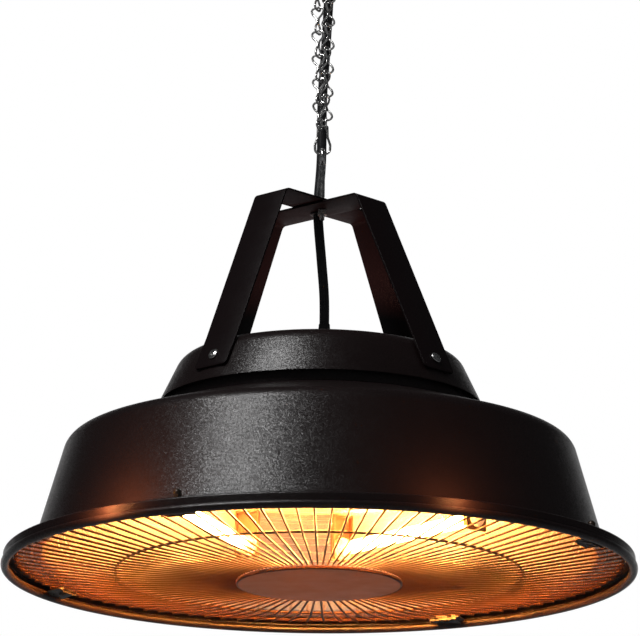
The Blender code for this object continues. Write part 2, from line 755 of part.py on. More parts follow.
def build_lamps(glass, steel, parent):
    """Make the halogen tubes in a triangle, with their cemented ends and their holders."""
    along = Matrix.Rotation(math.pi / 2, 4, "Y")
    half = LAMP_GLASS_LENGTH / 2
    grip = half - LAMP_CAP_GRIP
    end = grip + LAMP_CAP_LENGTH
    high = LAMP_DROP - GAP
    size = (HOLDER_SHEET, HOLDER_WIDTH, high + HOLDER_BELOW)
    outline = [(0, -end), (LAMP_CAP_R, -end), (LAMP_CAP_R, -grip), (LAMP_GLASS_R, -grip)]
    outline += [(LAMP_GLASS_R, grip), (LAMP_CAP_R, grip), (LAMP_CAP_R, end), (0, end)]
    for index, name in enumerate(("front", "right", "left")):
        frame = lamp_frame(index)
        lamp = bmesh.new()
        add_turned(lamp, outline, ROUND_STEPS, frame @ along)
        finish(f"lamp_{name}", lamp, glass, parent)
        bore = bmesh.new()
        reach = half + LAMP_CAP_LENGTH
        add_bore(bore, LAMP_CAP_R + GAP, -reach, reach, frame @ along)
        cutter = finish(f"lamp_{name}_cutter", bore, steel, parent)
        hide_cutter(cutter)
        for side, side_name in ((-1, "a"), (1, "b")):
            block = bmesh.new()
            centre = (side * (grip + LAMP_CAP_LENGTH / 2), 0, (high - HOLDER_BELOW) / 2)
            add_box(block, size, centre, matrix=frame)
            holder = finish(f"lamp_holder_{name}_{side_name}", block, steel, parent)
            cut(holder, cutter)


def grille_ring_heights():
    """Return the heights of the outer ring, the mid ring and the disc's underside."""
    under = (SHADE_SHEET + GAP + REFLECTOR_SHEET + GAP + OUTER_RING_WIRE_R) / math.cos(math.atan(LIP_SLOPE))
    outer_z = lip_height(OUTER_RING_R) - under
    wire_z = outer_z - OUTER_RING_WIRE_R - WIRE_R + WELD
    mid_wire_z = wire_z - MID_RING_DROP
    disc_wire_z = mid_wire_z - DISC_DROP
    return outer_z, mid_wire_z + WIRE_R + GAP + MID_RING_WIRE_R, disc_wire_z - WIRE_R - GAP


def wire_path():
    """Return one wire of the grille, from over the disc's flange to under the outer ring."""
    outer_z, mid_z, disc_z = grille_ring_heights()
    inner_end = (DISC_R - DISC_SHEET, 0, disc_z + GAP + WIRE_R)
    middle = (MID_RING_R, 0, mid_z - MID_RING_WIRE_R - GAP - WIRE_R)
    weld = Vector((OUTER_RING_R, 0, outer_z - OUTER_RING_WIRE_R + WELD - WIRE_R))
    outer_end = weld + (weld - Vector(middle)).normalized() * OUTER_RING_WIRE_R
    return [inner_end, middle, tuple(outer_end)]


def build_grille(black, disc_material, parent):
    """Make the guard: a fan of wires welded under the outer ring, a mid ring and a disc."""
    outer_z, mid_z, disc_z = grille_ring_heights()
    ring = bmesh.new()
    add_turned(ring, ring_outline(OUTER_RING_WIRE_R, RING_SIDES, OUTER_RING_R, outer_z), RING_STEPS)
    wires = finish("grille_wires", ring, black, parent)
    fan = bmesh.new()
    for index in range(WIRE_COUNT):
        azimuth = CLIP_AZIMUTH_DEG + 360 / WIRE_COUNT * (index + 0.5)
        add_tube(fan, wire_path(), WIRE_R, 4, matrix=around(0, azimuth))
    joined = finish("wire_fan_joined", fan, black, parent)
    hide_cutter(joined)
    cut(wires, joined, "UNION")
    ring = bmesh.new()
    add_turned(ring, ring_outline(MID_RING_WIRE_R, RING_SIDES, MID_RING_R, mid_z), RING_STEPS)
    finish("grille_mid_ring", ring, black, parent)
    disc = bmesh.new()
    base = disc_z - DISC_FLANGE_HEIGHT
    path = [(0, base), (DISC_R, base), (DISC_R, disc_z)]
    outer = round_path(path, (0, DISC_CORNER_FILLET, 0), steps=2)
    inner = offset_path(outer, DISC_SHEET)
    inner[0] = (0, base + DISC_SHEET)
    add_turned(disc, outer + inner[::-1], DISC_STEPS)
    finish("grille_disc", disc, disc_material, parent)


def ring_outline(wire_r, sides, radius, height):
    """Return the round section of a ring, as an outline to turn."""
    points = []
    for side in range(sides):
        angle = 2 * math.pi * side / sides - math.pi / 2
        points.append((radius + wire_r * math.cos(angle), height + wire_r * math.sin(angle)))
    return points


def clip_plane():
    """Return the depth of the clip's top under the lip's top side, at the bolt circle."""
    middle, outer = wire_path()[1:]
    rise = (outer[2] - middle[2]) / (outer[0] - middle[0])
    bolt_r = clip_bolt_radius()
    low_r = bolt_r - CLIP_WIDTH / 2
    wire_low = middle[2] + rise * (low_r - middle[0]) - WIRE_R * math.hypot(1, rise)
    top_at_low = wire_low - GAP
    top = top_at_low - LIP_SLOPE * CLIP_WIDTH / 2
    return (lip_height(bolt_r) - top) * math.cos(math.atan(LIP_SLOPE))


def build_clips(steel, parent):
    """Make the clips under the grille, each with the bolt and nut that hold it to the lip."""
    depth = clip_plane()
    under = -depth - CLIP_SHEET
    inside = -depth - CLIP_SHEET / 2
    nut_top = GAP + CLIP_NUT_HEIGHT
    outline = [(0, under - CLIP_HEAD_HEIGHT), (CLIP_HEAD_R / 2, under - CLIP_HEAD_HEIGHT)]
    outline += [(CLIP_HEAD_R, under - CLIP_HEAD_HEIGHT / 2), (CLIP_HEAD_R, inside), (CLIP_BOLT_R, inside)]
    outline += [(CLIP_BOLT_R, GAP), (CLIP_NUT_R, GAP), (CLIP_NUT_R, nut_top), (CLIP_BOLT_R, nut_top)]
    outline += [(CLIP_BOLT_R, CLIP_BOLT_END), (0, CLIP_BOLT_END)]
    for index, azimuth in enumerate(clip_azimuths(), 1):
        frame = lip_frame(clip_bolt_radius(), azimuth)
        plate = bmesh.new()
        add_box(plate, (CLIP_WIDTH, CLIP_LENGTH, CLIP_SHEET), (0, 0, inside), matrix=frame)
        clip = finish(f"grille_clip_{index}", plate, steel, parent)
        bolt = bmesh.new()
        add_turned(bolt, outline, STUD_STEPS, frame)
        joined = finish(f"clip_bolt_joined_{index}", bolt, steel, parent)
        hide_cutter(joined)
        cut(clip, joined, "UNION")


def build_eye_bolt(steel, parent):
    """Make the eye bolt through both straps, with its nuts and washers."""
    shank_low = STRAPS_FOOT_Z - GAP - EYE_NUT_HEIGHT - EYE_TAIL
    eye = bmesh.new()
    section = ring_outline(EYE_WIRE_R, 8, EYE_HOLE_R + EYE_WIRE_R, 0)
    upright = Matrix.Translation((0, 0, EYE_CENTRE_Z)) @ Matrix.Rotation(math.pi / 2, 4, "Y")
    add_turned(eye, section, 16, upright)
    bolt = finish("eye_bolt", eye, steel, parent)
    shank = bmesh.new()
    shank_top = EYE_CENTRE_Z - EYE_HOLE_R - EYE_WIRE_R
    add_plain_cylinder(shank, EYE_SHANK_R, shank_low, shank_top, SCREW_STEPS)
    cutter = finish("eye_shank_joined", shank, steel, parent)
    hide_cutter(cutter)
    cut(bolt, cutter, "UNION")
    bore = EYE_SHANK_R + GAP
    for name, low in (("eye_nut_upper", STRAPS_TOP_Z + GAP), ("eye_nut_lower", STRAPS_FOOT_Z - GAP - EYE_NUT_HEIGHT)):
        nut = bmesh.new()
        add_hexagon(nut, EYE_NUT_R, low, low + EYE_NUT_HEIGHT, bore)
        finish(name, nut, steel, parent)


def cable_bore():
    """Return the corner radius of a bore whose flats clear the cable."""
    return (CABLE_R + GAP) / math.cos(math.pi / ROUND_STEPS)


def build_grommet(name, x, y, low, high, material, parent):
    """Turn a cable grommet that grips a sheet between two heights."""
    bore = cable_bore()
    waist = bore + GROMMET_WALL
    brim = waist + GROMMET_LIP
    outline = [(bore, low - GAP - GROMMET_FLANGE), (brim, low - GAP - GROMMET_FLANGE), (brim, low - GAP)]
    outline += [(waist, low - GAP), (waist, high + GAP), (brim, high + GAP)]
    outline += [(brim, high + GAP + GROMMET_FLANGE), (bore, high + GAP + GROMMET_FLANGE)]
    shape = bmesh.new()
    add_turned(shape, outline, ROUND_STEPS, Matrix.Translation((x, y, 0)))
    return finish(name, shape, material, parent)


def build_ceiling_grommet(material, parent):
    """Turn the grommet in the ceiling plate, with its brim under the plate only."""
    bore = cable_bore()
    waist = bore + GROMMET_WALL
    brim = waist + GROMMET_LIP
    low = -PLATE_SHEET - GAP
    outline = [(bore, low - GROMMET_FLANGE), (brim, low - GROMMET_FLANGE), (brim, low)]
    outline += [(waist, low), (waist, -GAP), (bore, -GAP)]
    shape = bmesh.new()
    add_turned(shape, outline, ROUND_STEPS, Matrix.Translation((CEILING_CABLE_X, CEILING_CABLE_Y, 0)))
    return finish("ceiling_grommet", shape, material, parent)


def build_gland(material, parent):
    """Turn the cable gland in the cap's top, and its nut inside."""
    bore = cable_bore()
    seat = CAP_TOP_Z + GAP
    thread_low = CAP_TOP_Z - GLAND_THREAD_LENGTH
    body_top = seat + GLAND_BODY_HEIGHT
    dome_top = body_top + GLAND_DOME_HEIGHT
    outline = [(bore, thread_low), (GLAND_THREAD_R, thread_low), (GLAND_THREAD_R, seat)]
    outline += [(GLAND_BODY_R, seat), (GLAND_BODY_R, body_top), (GLAND_DOME_R, body_top)]
    shoulder = GLAND_DOME_HEIGHT / 2
    outline += [(GLAND_DOME_R, body_top + shoulder), ((GLAND_DOME_R + bore) / 2, dome_top), (bore, dome_top)]
    place = Matrix.Translation((GLAND_X, GLAND_Y, 0))
    shape = bmesh.new()
    add_turned(shape, outline, ROUND_STEPS, place)
    finish("cable_gland", shape, material, parent)
    nut = bmesh.new()
    nut_top = CAP_TOP_Z - CAP_SHEET - GAP
    add_hexagon(nut, GLAND_BODY_R, nut_top - GLAND_NUT_HEIGHT, nut_top, GLAND_THREAD_R + GAP, place)
    finish("gland_nut", nut, material, parent)


def link_path():
    """Return one twisted double-loop link: its upper loop faces Y, its lower loop faces X."""
    points = []
    for index in range(LINK_POINTS):
        angle = 2 * math.pi * index / LINK_POINTS
        rise = math.cos(angle)
        waist = rise * rise / (rise * rise + LINK_NECK_LENGTH_SHARE)
        width = LINK_HALF_WIDTH * math.sin(angle) * (LINK_NECK_SHARE + (1 - LINK_NECK_SHARE) * waist)
        turn = math.pi / 4 * (1 - math.tanh(rise / LINK_TWIST_SHARE))
        points.append((width * math.cos(turn), width * math.sin(turn), LINK_LENGTH / 2 * rise))
    return points


def circle_path(radius):
    """Return a circle in the YZ plane."""
    points = []
    for index in range(LOOP_POINTS):
        angle = 2 * math.pi * index / LOOP_POINTS
        points.append((0, radius * math.sin(angle), radius * math.cos(angle)))
    return points


def strand_point(side, height):
    """Return where a strand's middle lies at a height in the rim frame, from the pin."""
    share = (height - STRAND_FOOT_Z) / (STRAND_TOP_Z - STRAND_FOOT_Z)
    apart = min(1, share / STRAND_RAMP_SHARE, (1 - share) / STRAND_RAMP_SHARE)
    x = STRAND_FOOT_X[side] + share * (STRAND_TOP_X[side] - STRAND_FOOT_X[side])
    return Vector((x, STRAND_Y[side] * apart, height - PIN_Z))


def place_on_strand(piece, side, foot, length, turn_deg):
    """Stand a piece of the chain on its strand, from its foot's height, along its length."""
    low = strand_point(side, foot)
    high = strand_point(side, foot + length)
    lean = Vector((0, 0, 1)).rotation_difference(high - low)
    piece.location = (low + high) / 2
    piece.rotation_mode = "QUATERNION"
    piece.rotation_quaternion = lean @ Matrix.Rotation(math.radians(turn_deg), 3, "Z").to_quaternion()


def build_strand(side, ring_at_top, steel, parent):
    """Hang one strand of twisted links, with its end ring at one end."""
    turn = 0 if ring_at_top else 90
    foot = STRAND_FOOT_Z + (0 if ring_at_top else END_RING_PITCH)
    shape = bmesh.new()
    add_tube(shape, link_path(), LINK_WIRE_R, LINK_SIDES, closed=True)
    first = finish(f"chain_{side}_{LINK_COUNT}", shape, steel, parent, 80.0)
    place_on_strand(first, side, foot, LINK_LENGTH, turn)
    for index in range(1, LINK_COUNT):
        link = bpy.data.objects.new(f"chain_{side}_{LINK_COUNT - index}", first.data)
        bpy.context.collection.objects.link(link)
        link.parent = parent
        place_on_strand(link, side, foot + index * LINK_PITCH, LINK_LENGTH, turn)
    ring_foot = STRAND_FOOT_Z + (LINK_COUNT * LINK_PITCH if ring_at_top else 0)
    shape = bmesh.new()
    add_tube(shape, circle_path(END_RING_R), LINK_WIRE_R, LINK_SIDES, closed=True)
    ring = finish(f"{side}_end_ring", shape, steel, parent, 80.0)
    place_on_strand(ring, side, ring_foot, 2 * END_RING_R, 0)


def build_joining_ring(steel, parent):
    """Bend the bell-shaped ring that joins both strands to the eye bolt."""
    low = JOINING_FOOT_Z - PIN_Z
    high = JOINING_TOP_Z - PIN_Z
    corners = [(-JOINING_TOP_HALF, high), (JOINING_TOP_HALF, high)]
    corners += [(JOINING_FOOT_HALF, low), (-JOINING_FOOT_HALF, low)]
    radii = (JOINING_TOP_FILLET, JOINING_TOP_FILLET, JOINING_FOOT_FILLET, JOINING_FOOT_FILLET)
    path = [(x, 0, z) for x, z in round_path(corners, radii, steps=3, closed=True)]
    shape = bmesh.new()
    add_tube(shape, path, JOINING_WIRE_R, LINK_SIDES, closed=True)
    return finish("joining_ring", shape, steel, parent, 80.0)


def build_hanger(steel, screw_steel, parent):
    """Make the hanger bracket, its pin and the ceiling plate with its screws."""
    base_top = -PLATE_SHEET - GAP
    middle = base_top - HANGER_SHEET / 2
    foot = -PIN_DROP - HANGER_EAR_BELOW
    half = HANGER_HALF_SPAN - HANGER_SHEET / 2
    path = [(-half, foot), (-half, middle), (half, middle), (half, foot)]
    rounded = round_path(path, (0, HANGER_BEND_R, HANGER_BEND_R, 0), steps=3)
    shape = bmesh.new()
    add_strip(shape, rounded, HANGER_SHEET, HANGER_WIDTH)
    bracket = finish("hanger_bracket", shape, steel, parent)
    shape = bmesh.new()
    add_plain_cylinder(shape, PLATE_R, -PLATE_SHEET, 0, DISC_STEPS)
    plate = finish("ceiling_plate", shape, steel, parent)
    across = Matrix.Translation((0, 0, -PIN_DROP)) @ Matrix.Rotation(math.pi / 2, 4, "Y")
    face = HANGER_HALF_SPAN + GAP
    pin = bmesh.new()
    outline = [(0, -face - PIN_TAIL), (PIN_R, -face - PIN_TAIL), (PIN_R, face), (PIN_HEAD_R, face)]
    outline += [(PIN_HEAD_R, face + PIN_HEAD_HEIGHT), (0, face + PIN_HEAD_HEIGHT)]
    add_turned(pin, outline, ROUND_STEPS, across)
    finish("hanger_pin", pin, screw_steel, parent)
    nut = bmesh.new()
    add_hexagon(nut, PIN_HEAD_R, -face - PIN_HEAD_HEIGHT, -face, PIN_R + GAP, across)
    finish("hanger_pin_nut", nut, screw_steel, parent)
    bores = bmesh.new()
    head = base_top - HANGER_SHEET - GAP
    for index, side in enumerate((-1, 1), 1):
        flip = Matrix.Translation((side * CEILING_SCREW_X, 0, 0)) @ Matrix.Rotation(math.pi, 4, "X")
        screw = bmesh.new()
        add_screw(screw, CEILING_SCREW_R, GAP, -head, CEILING_HEAD_R, CEILING_HEAD_HEIGHT, flip)
        finish(f"ceiling_screw_{index}", screw, screw_steel, parent)
        add_bore(bores, CEILING_SCREW_R + GAP, -OVERRUN, OVERRUN - head, flip)
    cutter = finish("ceiling_bore_cutter", bores, steel, parent)
    hide_cutter(cutter)
    cut(plate, cutter)
    cut(bracket, cutter)
    pin_bore = bmesh.new()
    add_bore(pin_bore, PIN_R + GAP, -face - OVERRUN, face + OVERRUN, across)
    cutter = finish("pin_bore_cutter", pin_bore, steel, parent)
    hide_cutter(cutter)
    cut(bracket, cutter)
    hole = bmesh.new()
    hole_r = cable_bore() + GROMMET_WALL + GAP
    place = Matrix.Translation((CEILING_CABLE_X, CEILING_CABLE_Y, 0))
    add_bore(hole, hole_r, -PLATE_SHEET - OVERRUN, OVERRUN, place)
    cutter = finish("ceiling_hole_cutter", hole, steel, parent)
    hide_cutter(cutter)
    cut(plate, cutter)


def smooth_route(points, per_span):
    """Return a smooth curve through the route's points."""
    ends = [points[0]] + list(points) + [points[-1]]
    knots = [Vector(point) for point in ends]
    curve = []
    for index in range(1, len(knots) - 2):
        before, start, end, after = knots[index - 1 : index + 3]
        for step in range(per_span):
            share = step / per_span
            linear = end - before
            square = 2 * before - 5 * start + 4 * end - after
            cube = 3 * start - before - 3 * end + after
            curve.append((2 * start + linear * share + square * share**2 + cube * share**3) / 2)
    curve.append(knots[-2])
    return curve


def stretch_of(curve, low, high):
    """Return the part of a rising curve between two heights: short end runs, then even steps."""
    inside = []
    for near, far in zip(curve, curve[1:]):
        for height in (low, high):
            if near.z < height <= far.z:
                inside.append(near.lerp(far, (height - near.z) / (far.z - near.z)))
        if low < far.z < high:
            inside.append(far)
    if high > curve[-1].z:
        inside.append(curve[-1])
    length = sum((b - a).length for a, b in zip(inside, inside[1:]))
    middle = length - 2 * CABLE_END_RUN
    count = max(1, round(middle / (CABLE_STEP_DIAMETERS * 2 * CABLE_R)))
    targets = [CABLE_END_RUN + middle * index / count for index in range(count + 1)]
    return [inside[0]] + [point_along(inside, target) for target in targets] + [inside[-1]]


def point_along(curve, target):
    """Return the point at a distance along a curve."""
    walked = 0.0
    for first, second in zip(curve, curve[1:]):
        step = (second - first).length
        if walked + step >= target:
            return first.lerp(second, (target - walked) / step)
        walked += step
    return curve[-1]


def build_cable(name, low, high, origin_height, material, parent):
    """Make one stretch of the mains cable as a round tube."""
    points = stretch_of(smooth_route(CABLE_ROUTE, 12), low, high)
    data = bpy.data.curves.new(name, "CURVE")
    data.dimensions = "3D"
    data.bevel_depth = CABLE_R
    data.bevel_resolution = 2
    data.use_fill_caps = True
    spline = data.splines.new("POLY")
    spline.points.add(len(points) - 1)
    for knot, point in zip(spline.points, points):
        knot.co = (point.x, point.y, point.z - origin_height, 1.0)
    data.materials.append(material)
    cable = bpy.data.objects.new(name, data)
    bpy.context.collection.objects.link(cable)
    cable.parent = parent
    return cable


def make_bores(name, frames, radius, low, high, steel, parent):
    """Return one cutter with a round bore in each frame."""
    shape = bmesh.new()
    for frame in frames:
        add_bore(shape, radius, low, high, frame)
    cutter = finish(name, shape, steel, parent)
    hide_cutter(cutter)
    return cutter


def main():
    """Build the whole heater."""
    clear_scene()
    black = make_material("black_textured_coat", (0.012, 0.011, 0.011), 0.5)
    strap_black = make_material("black_strap_coat", (0.012, 0.011, 0.011), 0.45)
    steel = make_material("zinc_plated_steel", (0.55, 0.54, 0.52), 0.3, 1.0)
    chain_steel = make_material("chain_steel", (0.35, 0.35, 0.35), 0.25, 1.0)
    polished = make_material("polished_reflector", (0.85, 0.62, 0.35), 0.18, 1.0)
    galvanised = make_material("galvanised_sheet", (0.45, 0.45, 0.45), 0.4, 1.0)
    rubber = make_material("cable_rubber", (0.012, 0.012, 0.012), 0.5)
    plastic = make_material("black_plastic", (0.02, 0.02, 0.02), 0.4)
    glass = make_material("lamp_glass", (1.0, 0.75, 0.4), 0.05)
    wire_black = make_material("grille_wire_coat", (0.03, 0.02, 0.015), 0.4)
    disc_coat = make_material("grille_disc_coat", (0.2, 0.1, 0.06), 0.5)

    ceiling = make_empty("ceiling_frame", 0)
    chain_pivot = make_empty("chain_pivot", PIN_Z - CEILING_Z, ceiling)
    heater_pivot = make_empty("heater_pivot", EYE_ARC_Z - PIN_Z, chain_pivot)
    rim = make_empty("rim_centre", -EYE_ARC_Z, heater_pivot)

    build_hanger(steel, steel, ceiling)
    build_ceiling_grommet(rubber, ceiling)
    build_strand("left", True, chain_steel, chain_pivot)
    build_strand("right", False, chain_steel, chain_pivot)
    build_joining_ring(chain_steel, chain_pivot)

    shade = build_shade(black, rim)
    ring = build_support_ring(black, rim)
    cap = build_cap(black, rim)
    first, second = strap_azimuths()[0], strap_azimuths()[2]
    upper = build_strap("strap_upper", UPPER_STRAP_Z, first, strap_black, rim)
    lower = build_strap("strap_lower", LOWER_STRAP_Z, second, strap_black, rim)
    build_gear_plate(galvanised, rim)
    reflector = build_reflector(polished, rim)
    join_weld_nuts(ring, steel, rim)
    build_strap_screws(steel, rim)
    build_terminal_block(plastic, rim)
    build_lamps(glass, galvanised, rim)
    build_grille(wire_black, disc_coat, rim)
    build_clips(steel, rim)
    build_eye_bolt(steel, rim)
    build_grommet("strap_grommet", STRAP_HOLE_X, STRAP_HOLE_Y, STRAPS_FOOT_Z, STRAPS_TOP_Z, rubber, rim)
    build_gland(plastic, rim)

    def bores(name, frames, radius, low, high):
        return make_bores(name, frames, radius + GAP, low - OVERRUN, high + OVERRUN, steel, rim)

    strap_frames = [strap_screw_frame(azimuth) for azimuth in strap_azimuths()]
    strap_bores = bores("strap_bore_cutter", strap_frames, STRAP_SCREW_R, weld_nut_foot(), STRAP_SHEET)
    ring_frames = [around(ring_screw_radius(), azimuth) for azimuth in strap_azimuths()]
    ring_bores = bores("ring_bore_cutter", ring_frames, RING_STUD_R, SHADE_TOP_Z, SHADE_TOP_Z)
    post_frames = [around(POST_CIRCLE_R, azimuth) for azimuth in post_azimuths()]
    ceiling_top = reflector_ceiling()
    post_bores = bores("post_bore_cutter", post_frames, POST_STUD_R, ceiling_top, ceiling_top)
    clip_frames = [lip_frame(clip_bolt_radius(), azimuth) for azimuth in clip_azimuths()]
    clip_bores = bores("clip_bore_cutter", clip_frames, CLIP_BOLT_R, 0, 0)
    eye_bore = bores("eye_bore_cutter", [Matrix()], EYE_SHANK_R, STRAPS_FOOT_Z, STRAPS_TOP_Z)
    hole_place = Matrix.Translation((STRAP_HOLE_X, STRAP_HOLE_Y, 0))
    waist_r = cable_bore() + GROMMET_WALL
    strap_hole = bores("strap_hole_cutter", [hole_place], waist_r, STRAPS_FOOT_Z, STRAPS_TOP_Z)
    gland_place = Matrix.Translation((GLAND_X, GLAND_Y, 0))
    gland_hole = bores("gland_hole_cutter", [gland_place], GLAND_THREAD_R, CAP_TOP_Z, CAP_TOP_Z)
    cuts = (
        (shade, (clip_bores, ring_bores)),
        (ring, (ring_bores, strap_bores)),
        (cap, (strap_bores, gland_hole)),
        (upper, (strap_bores, eye_bore, strap_hole)),
        (lower, (strap_bores, eye_bore, strap_hole)),
        (reflector, (clip_bores, post_bores)),
    )
    for piece, cutters in cuts:
        for cutter in cutters:
            cut(piece, cutter)

    block_top = SHADE_TOP_Z - SHADE_SHEET + TERMINAL_HEIGHT
    build_cable("cable_head", block_top + GAP, CABLE_HEAD_TOP, 0, rubber, rim)
    build_cable("cable_lower", CABLE_HEAD_TOP + GAP, CABLE_SPLIT, PIN_Z, rubber, chain_pivot)
    build_cable("cable_upper", CABLE_SPLIT + GAP, CABLE_ROUTE[-1][2], CEILING_Z, rubber, ceiling)


main()
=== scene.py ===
"""Looks of the hanging patio heater, laid out as an add-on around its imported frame.

Sizes are in metres, in the frame of the solids: the origin is the middle of the ceiling
plate's top face, and the heater hangs along -Z. A height called a rim height counts from
the middle of the shade's rolled rim. The front is -Y, and azimuths count from it to +X.
"""

import math

import bmesh
import bpy
from bpy.props import FloatProperty, FloatVectorProperty, IntProperty, PointerProperty
from bpy.types import Operator, Panel, PropertyGroup
from mathutils import Matrix, Vector


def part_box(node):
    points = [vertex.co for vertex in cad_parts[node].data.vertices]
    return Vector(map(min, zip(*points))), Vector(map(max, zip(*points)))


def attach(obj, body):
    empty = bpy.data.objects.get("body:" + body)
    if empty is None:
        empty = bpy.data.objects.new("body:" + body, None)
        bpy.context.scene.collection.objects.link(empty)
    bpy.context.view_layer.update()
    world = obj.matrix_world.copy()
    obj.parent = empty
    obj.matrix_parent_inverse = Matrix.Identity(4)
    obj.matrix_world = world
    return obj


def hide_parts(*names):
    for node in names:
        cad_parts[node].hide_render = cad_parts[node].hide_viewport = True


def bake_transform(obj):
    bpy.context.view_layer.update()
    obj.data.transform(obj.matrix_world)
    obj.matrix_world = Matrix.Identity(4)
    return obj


bl_info = {
    "name": "Hanging patio heater",
    "version": (1, 0, 0),
    "blender": (4, 5, 0),
    "location": "View3D > Sidebar > Heater",
    "description": "Makes the visible pieces of a hanging patio heater around its packed frame",
    "category": "Add Mesh",
}

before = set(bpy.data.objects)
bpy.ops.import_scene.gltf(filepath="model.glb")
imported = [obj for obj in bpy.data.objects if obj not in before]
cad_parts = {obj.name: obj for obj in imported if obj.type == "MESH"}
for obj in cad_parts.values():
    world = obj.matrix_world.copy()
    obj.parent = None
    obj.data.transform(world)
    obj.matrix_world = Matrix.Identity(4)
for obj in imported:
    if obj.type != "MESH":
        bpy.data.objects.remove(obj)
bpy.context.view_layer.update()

# Rim heights that the solids were built with
SHADE_TOP = 0.148
CAP_HEM = 0.158
CAP_TOP = 0.204
STRAP_SCREW_HEIGHT = CAP_HEM + 0.024
STRAP_FOOT = 0.353
STRAP_TOP = 0.3573
EYE_HEIGHT = STRAP_TOP + 0.0484

# Row heights of the rim plane and of the pin in the ceiling hanger
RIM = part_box("shade")[1].z - SHADE_TOP
PIN_Z = 0.587 - 0.615

# Fits, sheets and bolts
GAP = 0.0003
M4_RADIUS = 0.002
SHADE_SHEET = 0.0012
REFLECTOR_SHEET = 0.0008
STRAP_SHEET = 0.002
HOLDER_SHEET = 0.0012
PLATE_SHEET = 0.003

# Angles and turns
SHARP_DEG = 35.0
FULL_TURN = 2 * math.pi
FACE_X = Matrix.Rotation(math.pi / 2, 4, "Y")
FLIP = Matrix.Rotation(math.pi, 4, "X")

# Slopes of the lip and of the cap's wall
LIP_SLOPE = 0.0028 / 0.0269
LIP_TILT = math.atan(LIP_SLOPE)
CAP_SLOPE = 0.022 / 0.046
CAP_TILT = math.atan(CAP_SLOPE)

# Azimuths in degrees
STRAP_AZIMUTHS = (-43.6, 136.4, 47.65, 227.65)
CLIP_AZIMUTHS = (-27.0, 63.0, 153.0, 243.0)
LAMP_AZIMUTHS = {"front": 10.0, "right": 130.0, "left": 250.0}

# The cable's route, as points over the rim plane, from the terminal block to the ceiling plate
CABLE_ROUTE = (
    (0.0030, 0.0070, 0.1632), (0.0030, 0.0070, 0.2000), (0.0030, 0.0070, 0.2330), (0.0027, 0.0095, 0.2690),
    (-0.0002, 0.0122, 0.3060), (-0.0034, 0.0134, 0.3430), (-0.0035, 0.0135, 0.3560), (-0.0035, 0.0136, 0.3690),
    (-0.0010, 0.0148, 0.4080), (-0.0006, 0.0142, 0.4670), (0.0020, 0.0138, 0.5120), (0.0047, 0.0160, 0.5650),
    (0.0058, 0.0212, 0.5900), (0.0060, 0.0240, 0.6030), (0.0060, 0.0240, 0.6090), (0.0060, 0.0240, 0.6145),
)
CABLE_SPLIT = 0.470
GLAND_XY = (0.003, 0.007)
STRAP_HOLE_XY = (-0.0035, 0.0135)
PLATE_HOLE_XY = (0.006, 0.024)

# The camera of the photograph, in pixels of its 640 by 636 frame, in metres and in degrees
PICTURE_WIDTH = 640
PICTURE_MIDDLE = (320.0, 318.0)
RIM_PIXEL = (321.2, 570.5)
PIXELS_PER_METRE = 1081.0
CAMERA_DISTANCE = 4.5
CAMERA_UNDER_DEG = 11.5
CAMERA_ROLL_DEG = 0.45

# The material slot of each finish
SLOTS = {
    "coat": "black_textured_coat",
    "strap": "black_strap_coat",
    "steel": "zinc_plated_steel",
    "clip": "zinc_plated_steel",
    "chain": "chain_steel",
    "holder": "galvanised_sheet",
    "reflector": "polished_reflector",
    "rubber": "cable_rubber",
    "plastic": "black_plastic",
    "wire": "grille_wire_coat",
    "disc": "grille_disc_coat",
    "ceramic": "lamp_glass",
    "quartz": "lamp_glass",
}
FINISHES = {}


def length(name, default, description):
    """Return a length property."""
    return FloatProperty(name=name, description=description, default=default, unit="LENGTH", precision=5)


def tint(name, default, description):
    """Return a colour property."""
    return FloatVectorProperty(name=name, description=description, default=default, subtype="COLOR",
                               size=3, min=0.0, max=1.0)


class ShadeSizes(PropertyGroup):
    """Sizes of the shade, cap and straps."""

    rim_radius: length("Rim radius", 0.300, "Radius over the rolled rim")
    bead_radius: length("Bead radius", 0.00405, "Radius of the rolled rim's section")
    flange_inset: length("Flange inset", 0.0021, "How far the flange stands inside the rim")
    flange_height: length("Flange height", 0.0112, "Height of the flange over the rim plane")
    lip_width: length("Lip width", 0.0269, "Width of the lip on top of the flange")
    wall_height: length("Wall height", 0.106, "Height of the straight wall")
    wall_lean: length("Wall lean", 0.0306, "How far the wall leans inward")
    wall_fillet: length("Wall fillet", 0.018, "Rounding between wall and shoulder")
    shoulder_radius: length("Shoulder radius", 0.151, "Radius where the shoulder ends")
    hole_radius: length("Top hole radius", 0.118, "Radius of the hole in the top")
    neck_radius: length("Neck radius", 0.147, "Radius of the band under the cap")
    cap_radius: length("Cap radius", 0.154, "Radius of the cap's hem")
    cap_fillet: length("Cap fillet", 0.020, "Rounding of the cap's top edge")
    strap_width: length("Strap width", 0.041, "Width of the flat straps")
    strap_bend: length("Strap bend", 0.006, "Radius of the straps' bends")


class ChainSizes(PropertyGroup):
    """Sizes of the chain, the cable and the eye bolt."""

    wire_radius: length("Wire radius", 0.00105, "Radius of the chain's wire")
    link_length: length("Link length", 0.0263, "Length over one link")
    link_half_width: length("Link half width", 0.00667, "Half the width of a link's loop")
    link_count: IntProperty(name="Links", description="Links in each strand", default=6, min=1)
    cable_radius: length("Cable radius", 0.0047, "Radius of the mains cable")
    eye_hole_radius: length("Eye hole radius", 0.005, "Radius of the hole in the eye bolt")
    eye_wire_radius: length("Eye wire radius", 0.0022, "Radius of the eye's wire")
    joining_radius: length("Joining ring wire radius", 0.0012, "Radius of the joining ring's wire")


